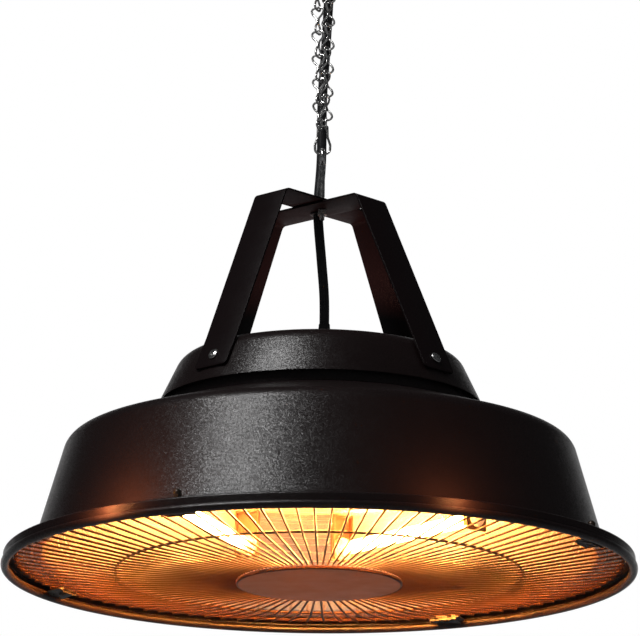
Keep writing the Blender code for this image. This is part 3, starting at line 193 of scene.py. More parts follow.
class GrilleSizes(PropertyGroup):
    """Sizes of the guard, the reflector and the lamps."""

    wire_count: IntProperty(name="Wires", description="Wires in the fan", default=104, min=8)
    wire_radius: length("Wire radius", 0.0011, "Radius of the fan's wires")
    outer_ring: length("Outer ring radius", 0.286, "Radius of the outer ring")
    outer_wire: length("Outer ring wire radius", 0.00175, "Radius of the outer ring's wire")
    mid_ring: length("Mid ring radius", 0.192, "Radius of the mid ring")
    mid_wire: length("Mid ring wire radius", 0.0012, "Radius of the mid ring's wire")
    disc_radius: length("Disc radius", 0.0785, "Radius of the disc in the middle")
    ceiling_radius: length("Reflector ceiling radius", 0.165, "Radius of the reflector's flat ceiling")
    ceiling_height: length("Reflector height", 0.072, "Height of the ceiling over the mouth")
    lamp_circle: length("Lamp circle radius", 0.110, "Radius of the circle that the lamps touch")
    lamp_drop: length("Lamp drop", 0.034, "How far the lamps hang under the ceiling")
    glass_radius: length("Tube radius", 0.006, "Radius of the quartz tubes")
    glass_length: length("Tube length", 0.190, "Length of the quartz tubes")


class HeaterFinishes(PropertyGroup):
    """Colours of the finishes and the lamps' light."""

    coat: tint("Coat", (0.0056, 0.0027, 0.0027), "Black textured powder coat of shade and cap")
    strap_coat: tint("Strap coat", (0.0046, 0.0024, 0.0027), "Satin coat of the straps")
    steel: tint("Zinc plate", (0.46, 0.445, 0.425), "Bolts, nuts and the hanger")
    chain_steel: tint("Chain steel", (0.66, 0.655, 0.645), "Links and rings of the chain")
    reflector: tint("Reflector", (0.92, 0.83, 0.69), "Polished aluminium")
    rubber: tint("Rubber", (0.012, 0.012, 0.013), "Cable sheath and grommets")
    wire_coat: tint("Wire coat", (0.0095, 0.0036, 0.0022), "Heat-proof coat of the guard's wires")
    disc_coat: tint("Disc coat", (0.40, 0.105, 0.035), "Heat-proof coat of the guard's disc")
    glow: tint("Lamp light", (1.0, 0.37, 0.070), "Colour of the lit tubes")
    glow_strength: FloatProperty(name="Lamp strength", description="Strength of the lit tubes",
                                 default=1150.0, min=0.0)


def at_rim(height):
    """Return the row height of a rim height."""
    return RIM + height


def raised(outline):
    """Return an outline of radii and rim heights with row heights."""
    return [(point[0], at_rim(point[1])) for point in outline]


def around(radius, azimuth_deg, rim_height=0.0):
    """Return the frame at a radius, azimuth and rim height: Z up, X outward."""
    turn = Matrix.Rotation(math.radians(azimuth_deg - 90), 4, "Z")
    return turn @ Matrix.Translation((radius, 0, at_rim(rim_height)))


def rounded(points, radii, steps=8, closed=False):
    """Return a path with arcs at its corners. A radius of zero keeps its corner sharp."""
    path = []
    for index, point in enumerate(points):
        corner = Vector(point)
        is_end = not closed and index in (0, len(points) - 1)
        if is_end or not radii[index]:
            path.append(corner)
            continue
        back = (Vector(points[index - 1]) - corner).normalized()
        ahead = (Vector(points[(index + 1) % len(points)]) - corner).normalized()
        half = back.angle(ahead) / 2
        if half > math.radians(89.9):
            path.append(corner)
            continue
        centre = corner + (back + ahead).normalized() * (radii[index] / math.sin(half))
        reach = radii[index] / math.tan(half)
        first = corner + back * reach - centre
        last = corner + ahead * reach - centre
        sweep = first.angle(last)
        for step in range(steps + 1):
            part = step / steps
            turned_part = first * math.sin((1 - part) * sweep) + last * math.sin(part * sweep)
            path.append(centre + turned_part / math.sin(sweep))
    return path


def offset(path, distance):
    """Return a flat path moved to its left side, with mitred corners."""
    moved = []
    for index, point in enumerate(path):
        normals = []
        for first, second in ((index - 1, index), (index, index + 1)):
            if first >= 0 and second < len(path):
                run = Vector(path[second]) - Vector(path[first])
                normals.append(Vector((-run.y, run.x)).normalized())
        mean = (normals[0] + normals[-1]).normalized()
        moved.append(Vector(point) + mean * (distance / mean.dot(normals[0])))
    return moved


def folded(path, sheet):
    """Return the outline of a sheet whose middle follows a path."""
    return offset(path, -sheet / 2) + offset(path, sheet / 2)[::-1]


def circle(radius, steps, centre=(0.0, 0.0)):
    """Return the points of a circle."""
    angles = [FULL_TURN * step / steps for step in range(steps)]
    return [(centre[0] + radius * math.cos(angle), centre[1] + radius * math.sin(angle)) for angle in angles]


def smooth_route(points, per_span):
    """Return a smooth curve through the points of a route."""
    knots = [Vector(point) for point in (points[0], *points, points[-1])]
    curve = []
    for index in range(1, len(knots) - 2):
        before, start, end, after = knots[index - 1 : index + 3]
        for step in range(per_span):
            part = step / per_span
            square = 2 * before - 5 * start + 4 * end - after
            cube = 3 * start - before - 3 * end + after
            curve.append((2 * start + (end - before) * part + square * part**2 + cube * part**3) / 2)
    curve.append(knots[-2])
    return curve


def placed(shape, place):
    """Move a bmesh into a frame, where one is given, and return it."""
    if place is not None:
        bmesh.ops.transform(shape, matrix=place, verts=shape.verts)
    return shape


def turned(outline, steps, place=None, closed=True):
    """Return a bmesh of an outline of radii and heights turned about Z."""
    shape = bmesh.new()
    corners = [shape.verts.new((point[0], 0, point[1])) for point in outline]
    pairs = list(zip(corners, corners[1:]))
    if closed and outline[0][0] > 0:
        pairs.append((corners[-1], corners[0]))
    edges = [shape.edges.new(pair) for pair in pairs]
    bmesh.ops.spin(shape, geom=corners + edges, axis=(0, 0, 1), angle=FULL_TURN, steps=steps, use_merge=True)
    bmesh.ops.remove_doubles(shape, verts=shape.verts, dist=1e-6)
    bmesh.ops.recalc_face_normals(shape, faces=shape.faces)
    return placed(shape, place)


def swept(path, radius, sides, closed=False, place=None):
    """Return a bmesh of a round wire along a path."""
    curve = bpy.data.curves.new("path", "CURVE")
    curve.dimensions = "3D"
    curve.bevel_depth = radius
    curve.bevel_resolution = (sides - 4) // 2
    curve.use_fill_caps = not closed
    spline = curve.splines.new("POLY")
    spline.points.add(len(path) - 1)
    for knot, point in zip(spline.points, path):
        knot.co = (*point, 1.0)
    spline.use_cyclic_u = closed
    holder = bpy.data.objects.new("path", curve)
    mesh = bpy.data.meshes.new_from_object(holder)
    shape = bmesh.new()
    shape.from_mesh(mesh)
    bpy.data.objects.remove(holder)
    bpy.data.curves.remove(curve)
    bpy.data.meshes.remove(mesh)
    bmesh.ops.recalc_face_normals(shape, faces=shape.faces)
    return placed(shape, place)


def prism(outline, depth, place=None):
    """Return a bmesh of an outline in XZ made deep along Y, about the middle."""
    shape = bmesh.new()
    face = shape.faces.new([shape.verts.new((point[0], -depth / 2, point[1])) for point in outline])
    made = bmesh.ops.extrude_face_region(shape, geom=[face])
    moved = [item for item in made["geom"] if isinstance(item, bmesh.types.BMVert)]
    bmesh.ops.translate(shape, vec=(0, depth, 0), verts=moved)
    bmesh.ops.recalc_face_normals(shape, faces=shape.faces)
    return placed(shape, place)


def block(size, centre=(0, 0, 0), edge=0.0, segments=2, place=None):
    """Return a bmesh of a box with rounded edges."""
    shape = bmesh.new()
    bmesh.ops.create_cube(shape, size=1.0, matrix=Matrix.Translation(centre) @ Matrix.Diagonal((*size, 1.0)))
    if edge:
        soften(shape, edge, segments)
    return placed(shape, place)


def cylinder(radius, depth, segments, place):
    """Return a bmesh of a cylinder about its frame's Z."""
    shape = bmesh.new()
    bmesh.ops.create_cone(shape, cap_ends=True, segments=segments, radius1=radius, radius2=radius, depth=depth,
                          matrix=place)
    return shape


def bevel(shape, edges, width, segments, clamp=False):
    """Round some edges of a bmesh."""
    bmesh.ops.bevel(shape, geom=edges, offset=width, segments=segments, profile=0.5, affect="EDGES",
                    material=-1, clamp_overlap=clamp)


def soften(shape, width, segments):
    """Round the sharp edges of a bmesh."""
    sharp = [edge for edge in shape.edges
             if len(edge.link_faces) == 2 and edge.calc_face_angle() > math.radians(SHARP_DEG)]
    bevel(shape, sharp, width, segments, clamp=True)


def round_ends(shape, sheet, radius, segments, below=math.inf):
    """Round the corners of a folded sheet's ends, up to a height."""
    corners = [edge for edge in shape.edges if edge.calc_length() < sheet * 1.2
               and max(vert.co.z for vert in edge.verts) < below]
    bevel(shape, corners, radius, segments)


def mesh_of(name, shape):
    """Return a mesh of a bmesh, which is freed."""
    mesh = bpy.data.meshes.new(name)
    shape.to_mesh(mesh)
    shape.free()
    return mesh


def gather(*shapes):
    """Return one bmesh with the faces of several, which are freed."""
    whole = bmesh.new()
    for shape in shapes:
        mesh = mesh_of("gathered", shape)
        whole.from_mesh(mesh)
        bpy.data.meshes.remove(mesh)
    return whole


def add_object(name, data):
    """Add an object with its data to the scene and return it."""
    made = bpy.data.objects.new(name, data)
    bpy.context.scene.collection.objects.link(made)
    return made


def cut(shape, tool, operation="DIFFERENCE"):
    """Return a bmesh cut with another one. Both are freed."""
    pieces = [add_object("cut", mesh_of("cut", source)) for source in (shape, tool)]
    modifier = pieces[0].modifiers.new("cut", "BOOLEAN")
    modifier.operation = operation
    modifier.solver = "EXACT"
    modifier.object = pieces[1]
    bpy.context.view_layer.update()
    mesh = bpy.data.meshes.new_from_object(pieces[0].evaluated_get(bpy.context.evaluated_depsgraph_get()))
    result = bmesh.new()
    result.from_mesh(mesh)
    for piece in pieces:
        data = piece.data
        bpy.data.objects.remove(piece)
        bpy.data.meshes.remove(data)
    bpy.data.meshes.remove(mesh)
    return result


def show(name, shape, look, body, *nodes, slot=None, sharp_deg=SHARP_DEG):
    """Turn a bmesh into a piece that stands for CAD nodes, and rides where a body is given."""
    slot = slot or SLOTS[look]
    mesh = mesh_of(name, shape)
    mesh.shade_smooth()
    mesh.set_sharp_from_angle(angle=math.radians(sharp_deg))
    mesh.materials.append(finish(look))
    piece = add_object(name, mesh)
    if body:
        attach(piece, body)
    if nodes:
        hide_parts(*nodes)
    return piece


class Graph:
    """Short ways to add and join the nodes of a tree."""

    def __init__(self, tree):
        self.tree = tree

    def feed(self, socket, value):
        """Set an input to a value, or join it to another socket."""
        if isinstance(value, bpy.types.NodeSocket):
            self.tree.links.new(value, socket)
        else:
            socket.default_value = value

    def node(self, kind, *values, **named):
        """Add a node and feed its inputs in order, or by name with underscores for spaces."""
        made = self.tree.nodes.new("ShaderNode" + kind)
        for index, value in enumerate(values):
            self.feed(made.inputs[index], value)
        for name, value in named.items():
            self.feed(made.inputs[name.replace("_", " ")], value)
        return made

    def maths(self, operation, *values, kind="Math"):
        """Return the result of a sum on sockets or numbers."""
        made = self.node(kind, *values)
        made.operation = operation
        return made.outputs[0]

    def vector(self, operation, *values):
        """Return the result of a sum on vector sockets or triples."""
        return self.maths(operation, *values, kind="VectorMath")

    def spread(self, source, low, high, to_low=0.0, to_high=1.0):
        """Return a value mapped from one range to another."""
        return self.node("MapRange", Value=source, From_Min=low, From_Max=high, To_Min=to_low,
                         To_Max=to_high).outputs["Result"]


class Finish(Graph):
    """One procedural material on Object coordinates. A tuple as a source stands for its noise."""

    def __init__(self, name, colour, roughness, metallic=0.0, **values):
        self.material = bpy.data.materials.new(name)
        self.material.use_nodes = True
        super().__init__(self.material.node_tree)
        self.shader = self.tree.nodes["Principled BSDF"]
        self.colour = (*colour, 1.0)
        self.place = self.node("TexCoord").outputs["Object"]
        self.set(Base_Color=self.colour, Roughness=roughness, Metallic=metallic, **values)

    def set(self, **values):
        """Feed inputs of the shader, by name with underscores for spaces."""
        for name, value in values.items():
            self.feed(self.shader.inputs[name.replace("_", " ")], value)
        return self

    def noise(self, scale, detail=3.0, rough=0.5, stretch=(1, 1, 1), source=None):
        """Return a noise value, with its grain's scale in cells per metre."""
        mapping = self.node("Mapping", Scale=stretch, Vector=source or self.place)
        return self.node("TexNoise", Scale=scale, Detail=detail, Roughness=rough,
                         Vector=mapping.outputs["Vector"]).outputs["Fac"]

    def read(self, source):
        """Return a source's socket."""
        return self.noise(*source) if isinstance(source, tuple) else source

    def cells(self, scale):
        """Return a colour that is the same all over each cell."""
        return self.node("TexVoronoi", Scale=scale, Vector=self.place).outputs["Color"]

    def radius(self):
        """Return the distance from the heater's middle line."""
        x, y = self.node("SeparateXYZ", self.place).outputs[:2]
        return self.maths("SQRT", self.maths("ADD", self.maths("MULTIPLY", x, x), self.maths("MULTIPLY", y, y)))

    def spun(self, scale):
        """Return noise that runs in circles about the heater's middle line."""
        height = self.node("SeparateXYZ", self.place).outputs[2]
        joined = self.node("CombineXYZ", self.radius(), 0.0, height)
        return self.noise(scale, 2.0, source=joined.outputs[0])

    def tone(self, factor, colour):
        """Mix the colour towards another one by a factor."""
        mix = self.node("Mix")
        mix.data_type = "RGBA"
        target = self.shader.inputs["Base Color"]
        before = target.links[0].from_socket if target.is_linked else self.colour
        for name, value in (("Factor", factor), ("A", before), ("B", (*colour, 1.0))):
            self.feed(mix.inputs[name], value)
        self.feed(target, mix.outputs["Result"])
        return self

    def stain(self, source, low, high, share, colour):
        """Mix in a share of another colour as a source grows from low to high."""
        return self.tone(self.spread(self.read(source), low, high, 0.0, share), colour)

    def rough(self, source, low, high):
        """Let the roughness follow a source."""
        return self.set(Roughness=self.spread(self.read(source), 0.3, 0.7, low, high))

    def facets(self, scale, tilt):
        """Lean the surface a little another way in each of many small cells."""
        lean = self.vector("SUBTRACT", self.cells(scale), (0.5, 0.5, 0.5))
        lean = self.vector("MULTIPLY", lean, (2 * tilt,) * 3)
        facing = self.node("NewGeometry").outputs["Normal"]
        return self.set(Normal=self.vector("NORMALIZE", self.vector("ADD", facing, lean)))

    def bump(self, source, distance, strength):
        """Add a bump of a real height."""
        made = self.node("Bump", Distance=distance, Strength=strength, Height=self.read(source))
        normal = self.shader.inputs["Normal"]
        if normal.is_linked:
            self.feed(made.inputs["Normal"], normal.links[0].from_socket)
        return self.set(Normal=made.outputs["Normal"])


def textured_coat(name, colour, grain=0.135, rough=(0.29, 0.35), shine=0.36):
    """Return a powder coat: a grain of tiny facets on a faint orange peel, and a little dust."""
    coat = Finish(name, colour, 0.46, Specular_IOR_Level=shine).facets(1900, grain)
    coat.bump((420, 2.0), 0.00003, 0.5).rough((60, 5.0, 0.7), *rough)
    return coat.stain((9, 5.0, 0.6), 0.45, 0.8, 0.35, [part * 1.9 for part in colour])


def plated_steel(name, colour, roughness=0.30, metallic=0.75):
    """Return zinc-plated steel: cloudy, with fine drawn lines."""
    steel = Finish(name, colour, roughness, metallic).rough((240, 4.0), roughness * 0.7, roughness * 1.4)
    steel.stain((70, 4.0), 0.4, 0.75, 0.4, [part * 0.78 for part in colour])
    return steel.bump((900, 2.0, 0.5, (1, 1, 0.08)), 0.00002, 0.2)


def make_finishes():
    """Make every finish once and return them by their looks."""
    colours = bpy.context.scene.heater_finishes
    found = {
        "coat": textured_coat("black_textured_coat", tuple(colours.coat)),
        "strap": textured_coat("black_strap_coat", tuple(colours.strap_coat), 0.05, (0.36, 0.44), 0.12),
        "steel": plated_steel("zinc_plated_steel", tuple(colours.steel)),
        "chain": plated_steel("chain_steel", tuple(colours.chain_steel), 0.24, 1.0),
        "clip": plated_steel("browned_steel", (0.05, 0.038, 0.030), 0.34),
        "holder": plated_steel("holder_sheet", (0.050, 0.016, 0.008), 0.55, 0.35),
    }
    sheet = found["galvanised"] = plated_steel("galvanised_sheet", (0.50, 0.50, 0.49), 0.36)
    sheet.stain(sheet.cells(140), 0.2, 0.9, 0.55, (0.34, 0.35, 0.36))

    polished = found["reflector"] = Finish("polished_reflector", tuple(colours.reflector), 0.14, 0.87)
    polished.rough(polished.spun(420), 0.18, 0.29).bump(polished.spun(700), 0.00002, 0.35)
    polished.bump((22, 2.0), 0.0006, 0.22).stain((30, 5.0, 0.65), 0.5, 0.8, 0.4, (0.74, 0.58, 0.42))

    rubber = found["rubber"] = Finish("cable_rubber", tuple(colours.rubber), 0.42, Specular_IOR_Level=0.4)
    rubber.bump((1300, 2.0), 0.00005, 0.5).rough((120, 4.0), 0.24, 0.36)
    rubber.stain((60, 5.0, 0.7), 0.55, 0.85, 0.5, (0.035, 0.034, 0.032))

    plastic = found["plastic"] = Finish("black_plastic", (0.016, 0.016, 0.017), 0.45)
    plastic.bump((1800, 2.0), 0.00004, 0.6).rough((80, 3.0), 0.40, 0.52)

    wire = found["wire"] = Finish("grille_wire_coat", tuple(colours.wire_coat), 0.45, Specular_IOR_Level=0.12)
    wire.bump((1400, 3.0), 0.00005, 0.6).rough((90, 4.0), 0.40, 0.52)
    # The wires are painted a lighter, warmer brown from 0.17 m out to 0.27 m: painted lamp light on the outer wires,
    # not a change in their coat.
    wire.stain(wire.radius(), 0.17, 0.27, 1.0, (0.055, 0.020, 0.010))

    disc = found["disc"] = Finish("grille_disc_coat", tuple(colours.disc_coat), 0.44, Specular_IOR_Level=0.15)
    disc.bump((1300, 3.0, 0.6), 0.00007, 0.6).rough((45, 4.0), 0.38, 0.52)
    disc.stain((28, 5.0, 0.65), 0.45, 0.8, 0.5, (0.28, 0.078, 0.030))
    # The disc's upturned rim, past 0.076 m, is painted dark brown: painted shade on the rim.
    disc.stain(disc.radius(), 0.0760, 0.0772, 0.95, (0.020, 0.008, 0.006))

    ceramic = found["ceramic"] = Finish("lamp_ceramic", (0.72, 0.64, 0.54), 0.55)
    ceramic.bump((900, 4.0), 0.00008, 0.6).stain((160, 4.0), 0.45, 0.8, 0.6, (0.50, 0.36, 0.25))

    quartz = found["quartz"] = Finish("lamp_glass", tuple(colours.glow), 0.12)
    glow = quartz.node("Attribute")
    glow.attribute_name = "glow"
    quartz.rough((300, 3.0), 0.10, 0.16)
    quartz.set(Emission_Color=(*colours.glow, 1.0), Coat_Weight=0.6, Coat_Roughness=0.05,
               Emission_Strength=quartz.maths("MULTIPLY", glow.outputs["Fac"], colours.glow_strength))
    return found


def finish(look):
    """Return the material of a look. All of them are made when it is missing."""
    if FINISHES.get(look, "") not in bpy.data.materials:
        FINISHES.update((name, made.material.name) for name, made in make_finishes().items())
    return bpy.data.materials[FINISHES[look]]


def add_camera(scene):
    """Set up the camera of the photograph."""
    focus = PIXELS_PER_METRE * CAMERA_DISTANCE
    under = math.radians(CAMERA_UNDER_DEG)
    tilt = under + math.atan((RIM_PIXEL[1] - PICTURE_MIDDLE[1]) / focus)
    data = bpy.data.cameras.new("camera")
    data.sensor_width = 36.0
    data.lens = data.sensor_width * focus / PICTURE_WIDTH
    data.shift_x = (PICTURE_MIDDLE[0] - RIM_PIXEL[0]) / PICTURE_WIDTH
    data.clip_end = 60.0
    camera = add_object("camera", data)
    camera.matrix_world = (
        Matrix.Translation((0, -CAMERA_DISTANCE, at_rim(-CAMERA_DISTANCE * math.tan(under))))
        @ Matrix.Rotation(math.pi / 2 + tilt, 4, "X")
        @ Matrix.Rotation(math.radians(CAMERA_ROLL_DEG), 4, "Z")
    )
    scene.camera = camera


def add_floor():
    """Lay a pale floor that metal sees darker and the camera sees lit."""
    depth, half_width = 1.75, 14.0
    floor = bmesh.new()
    bmesh.ops.create_grid(floor, x_segments=1, y_segments=1, size=half_width)
    bmesh.ops.translate(floor, vec=(0, 0, at_rim(-depth)), verts=floor.verts)
    paint = Finish("pale_floor", (0.80, 0.80, 0.80), 0.7)
    rays = paint.node("LightPath").outputs
    paint.tone(rays["Is Glossy Ray"], (0.30, 0.30, 0.30))
    paint.set(Emission_Color=(1.0, 1.0, 1.0, 1.0),
              Emission_Strength=paint.maths("MULTIPLY", rays["Is Camera Ray"], 0.72))
    mesh = mesh_of("floor", floor)
    mesh.materials.append(paint.material)
    ground = add_object("floor", mesh)


def add_softbox(name, place, target, size, power, colour=(1, 1, 1)):
    """Hang a rectangular soft light that points at a target, and return it."""
    data = bpy.data.lights.new(name, "AREA")
    data.shape = "RECTANGLE"
    data.size, data.size_y = size
    data.energy = power
    data.color = colour
    lamp = add_object(name, data)
    lamp.location = place
    lamp.rotation_euler = (Vector(target) - lamp.location).to_track_quat("-Z", "Y").to_euler()
    return lamp


def add_spill(name, azimuth, power):
    """Place a small warm light over the rim, and return it."""
    radius, height = 0.307, 0.013
    data = bpy.data.lights.new(name, "POINT")
    data.energy = power
    data.color = (1.0, 0.46, 0.15)
    data.shadow_soft_size = 0.015
    spill = add_object(name, data)
    spill.location = around(radius, azimuth, height).translation
    return spill


def add_lights():
    """Hang the key light, and the lights that stand in for the tubes' glare on lip and straps."""
    add_softbox("key_softbox", (-1.27, -1.46, at_rim(2.3)), (0, 0, at_rim(0.12)), (0.48, 1.1), 60.0)
    spills = [add_spill("left_spill", -39.0, 1.9), add_spill("right_spill", 24.0, 0.8)]
    bounce = add_softbox("strap_bounce", (0, 0.05, at_rim(0.25)), (0, 0, at_rim(0.35)), (0.05, 0.05), 0.30,
                         (1.0, 0.5, 0.38))
    for hidden in (*spills, bounce):
        hidden.visible_camera = False
        hidden.visible_glossy = False


def set_world():
    """Light the room softly, show white behind the heater, and let metal see that white backdrop."""
    world = bpy.data.worlds.new("studio")
    bpy.context.scene.world = world
    world.use_nodes = True
    world.node_tree.nodes.clear()
    graph = Graph(world.node_tree)
    room_tint = (0.95, 0.97, 1.0, 1.0)
    rays = graph.node("LightPath").outputs
    glossy = rays["Is Glossy Ray"]
    room = graph.node("Background", Color=room_tint, Strength=0.45).outputs[0]
    dark = graph.node("Background", Color=room_tint, Strength=0.028).outputs[0]
    white = graph.node("Background", Color=(1.0, 1.0, 1.0, 1.0), Strength=1.0).outputs[0]
    towards = graph.node("SeparateXYZ", graph.node("TexCoord").outputs["Generated"]).outputs
    behind = graph.node("MapRange", Value=towards["Y"], From_Min=0.80, From_Max=1.0)
    behind.interpolation_type = "SMOOTHSTEP"
    backdrop = graph.maths("MULTIPLY", behind.outputs["Result"], graph.spread(towards["Z"], -0.10, 0.0))
    straight = graph.maths("MAXIMUM", rays["Is Camera Ray"], rays["Is Transmission Ray"])
    is_white = graph.maths("MAXIMUM", straight, graph.maths("MULTIPLY", glossy, backdrop))
    room_or_dark = graph.node("MixShader", glossy, room, dark).outputs[0]
    graph.node("OutputWorld", Surface=graph.node("MixShader", is_white, room_or_dark, white).outputs[0])


class HEATER_OT_stage(Operator):
    """Make the camera, the floor and the lights"""

    bl_idname = "heater.stage"
    bl_label = "Stage"

    def execute(self, context):
        context.scene.view_settings.view_transform = "Standard"
        add_camera(context.scene)
        add_floor()
        add_lights()
        set_world()
        return {"FINISHED"}


def cable_stretch(low, high):
    """Return the cable's points between two rim heights."""
    curve = smooth_route(CABLE_ROUTE, 10)
    path = []
    for near, far in zip(curve, curve[1:]):
        for height in (low, high):
            if near.z < height <= far.z:
                path.append(near.lerp(far, (height - near.z) / (far.z - near.z)))
        if low < far.z < high:
            path.append(far)
    if low <= curve[0].z:
        path.insert(0, curve[0])
    if high > curve[-1].z - GAP:
        path.append(curve[-1])
    clean = [path[0]]
    for point in path[1:]:
        if (point - clean[-1]).length > GAP:
            clean.append(point)
    return [Vector((point.x, point.y, at_rim(point.z))) for point in clean]


class HEATER_OT_cable(Operator):
    """Hang the mains cable from the ceiling plate down into the cap"""

    bl_idname = "heater.cable"
    bl_label = "Mains cable"

    # Name, rim heights of its ends, CAD nodes, bodies, and the rim heights between which a run bends
    runs = (
        ("cable_bottom_run", (0.0, CABLE_SPLIT), ("cable_lower", "cable_head"), ("heater", "chain"), (0.375, 0.435)),
        ("cable_top_run", (CABLE_SPLIT, CABLE_ROUTE[-1][2]), ("cable_upper",), ("chain", "ceiling"), (0.520, 0.600)),
    )

    def execute(self, context):
        radius = context.scene.heater_chain.cable_radius
        for name, ends, nodes, bodies, (start, end) in self.runs:
            path = cable_stretch(*ends)
            piece = show(name, swept(path, radius, 20), "rubber", None, *nodes)
            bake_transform(piece)
        return {"FINISHED"}


def shade_outline(sizes):
    """Return the closed section of the shade: bead, flange, lip, wall, shoulder and top."""
    bead_r = sizes.bead_radius
    bead_middle = sizes.rim_radius - bead_r
    flange_r = sizes.rim_radius - sizes.flange_inset
    wall_foot = (flange_r - sizes.lip_width, sizes.flange_height + sizes.lip_width * LIP_SLOPE)
    wall_top = (wall_foot[0] - sizes.wall_lean, wall_foot[1] + sizes.wall_height)
    outer_join = math.acos((flange_r - bead_middle) / bead_r)
    inner_join = math.acos((flange_r - SHADE_SHEET - bead_middle) / bead_r)
    corners = [(flange_r, bead_r * math.sin(outer_join)), (flange_r, sizes.flange_height), wall_foot,
               wall_top, (sizes.shoulder_radius, SHADE_TOP), (sizes.hole_radius, SHADE_TOP)]
    outer = rounded(corners, (0, 0.0022, 0.0016, sizes.wall_fillet, 0.004, 0), 10)
    inner = offset(outer, SHADE_SHEET)
    inner[0] = Vector((flange_r - SHADE_SHEET, bead_r * math.sin(inner_join)))
    bead = []
    steps = 28
    for step in range(1, steps):
        angle = inner_join + (FULL_TURN + outer_join - inner_join) * step / steps
        bead.append((bead_middle + bead_r * math.cos(angle), bead_r * math.sin(angle)))
    return raised(outer + inner[::-1] + bead)


class HEATER_OT_shade(Operator):
    """Spin the shade with its rolled rim"""

    bl_idname = "heater.shade"
    bl_label = "Shade"

    def execute(self, context):
        shape = turned(shade_outline(context.scene.heater_shade), 288)
        show("shade_shell", shape, "coat", "heater", "shade", sharp_deg=28.0)
        return {"FINISHED"}


def cap_wall_radius(rim_height):
    """Return the radius of the cap's wall at a rim height."""
    return bpy.context.scene.heater_shade.cap_radius - CAP_SLOPE * (rim_height - CAP_HEM)


class HEATER_OT_cap(Operator):
    """Spin the cap and the ring that it stands on"""

    bl_idname = "heater.cap"
    bl_label = "Cap and support ring"

    def execute(self, context):
        sizes = context.scene.heater_shade
        hem = 0.0010
        corners = [(sizes.cap_radius, CAP_HEM), (cap_wall_radius(CAP_TOP), CAP_TOP), (0, CAP_TOP)]
        outer = rounded(corners, (0, sizes.cap_fillet, 0), 16)
        inner = offset(outer, SHADE_SHEET)
        inner[-1] = Vector((0, CAP_TOP - SHADE_SHEET))
        inner[0] = Vector((sizes.cap_radius - SHADE_SHEET, CAP_HEM + hem / 4))
        outer[0] = Vector((sizes.cap_radius - hem / 3, CAP_HEM))
        outer.insert(1, Vector((sizes.cap_radius - CAP_SLOPE * hem, CAP_HEM + hem)))
        show("cap_dome", turned(raised(inner[::-1] + outer), 224), "coat", "heater", "cap_shell")

        ring_sheet = 0.0015
        cone_top = 0.192
        foot_width = 0.025
        nested = (SHADE_SHEET + GAP) / math.cos(CAP_TILT)
        neck_top = CAP_HEM + (sizes.cap_radius - nested - sizes.neck_radius) / CAP_SLOPE
        base = SHADE_TOP + GAP
        path = [(sizes.neck_radius - foot_width, base), (sizes.neck_radius, base), (sizes.neck_radius, neck_top),
                (cap_wall_radius(cone_top) - nested, cone_top)]
        path = rounded(path, (0, 0.002, 0.002, 0), 4)
        parts = [turned(raised(path + offset(path, ring_sheet)[::-1]), 192)]
        depth = -(SHADE_SHEET + GAP + ring_sheet)
        for azimuth in STRAP_AZIMUTHS:
            parts.append(hexagon_nut(0.0042, depth - 0.0032, depth + ring_sheet / 2, M4_RADIUS,
                                     strap_screw_place(azimuth)))
        show("support_collar", gather(*parts), "coat", "heater", "support_ring")
        return {"FINISHED"}


def strap_screw_place(azimuth):
    """Return the frame of a strap screw: Z out of the cap's wall, its zero on the wall."""
    height = STRAP_SCREW_HEIGHT
    return around(cap_wall_radius(height), azimuth, height) @ Matrix.Rotation(math.pi / 2 - CAP_TILT, 4, "Y")


def hexagon_nut(radius, low, high, bore, place=None):
    """Return a bmesh of a hexagonal nut about Z, with its corners chamfered."""
    chamfer = radius * 0.14
    section = [(bore, low), (radius - chamfer, low), (radius, low + chamfer / 2),
               (radius, high - chamfer / 2), (radius - chamfer, high), (bore, high)]
    sides = cylinder(radius, 3 * (high - low), 6, Matrix.Translation((0, 0, (low + high) / 2)))
    return placed(cut(turned(section, 36), sides, "INTERSECT"), place)


def threaded(radius, low, high, pitch=0.0007, depth=0.00022, place=None):
    """Return a bmesh of a threaded end about Z, as rings at its pitch."""
    outline = [(0, low), (radius - 2 * depth, low), (radius - depth / 2, low + pitch / 2)]
    height = low + pitch / 2
    while height + pitch < high:
        outline += [(radius, height + pitch * 0.25), (radius - depth, height + pitch * 0.75)]
        height += pitch
    outline += [(radius - depth, high), (0, high)]
    return turned(outline, 24, place)


def pan_head(radius, height, base, place):
    """Return a bmesh of a pan head about Z with a cross recess."""
    top = base + height
    corners = [(0, base), (radius, base), (radius, base + height * 0.45), (radius * 0.55, top), (0, top)]
    outline = rounded(corners, (0, radius * 0.05, radius * 0.22, radius * 0.5, 0), 5)
    head = turned(outline, 40, closed=False)
    for turn in (0, 90):
        size = (radius * 1.15, radius * 0.21, height * 1.1)
        head = cut(head, block(size, (0, 0, top), place=Matrix.Rotation(math.radians(turn), 4, "Z")))
    return placed(head, place)


def grommet_edge(cable_r, height):
    """Return half a grommet's section: its bore, its brim under a height, and its waist."""
    brim = 0.0014
    return [(cable_r + 0.0002, height - brim), (cable_r + 0.0031, height - brim), (cable_r + 0.0031, height),
            (cable_r + 0.0018, height)]


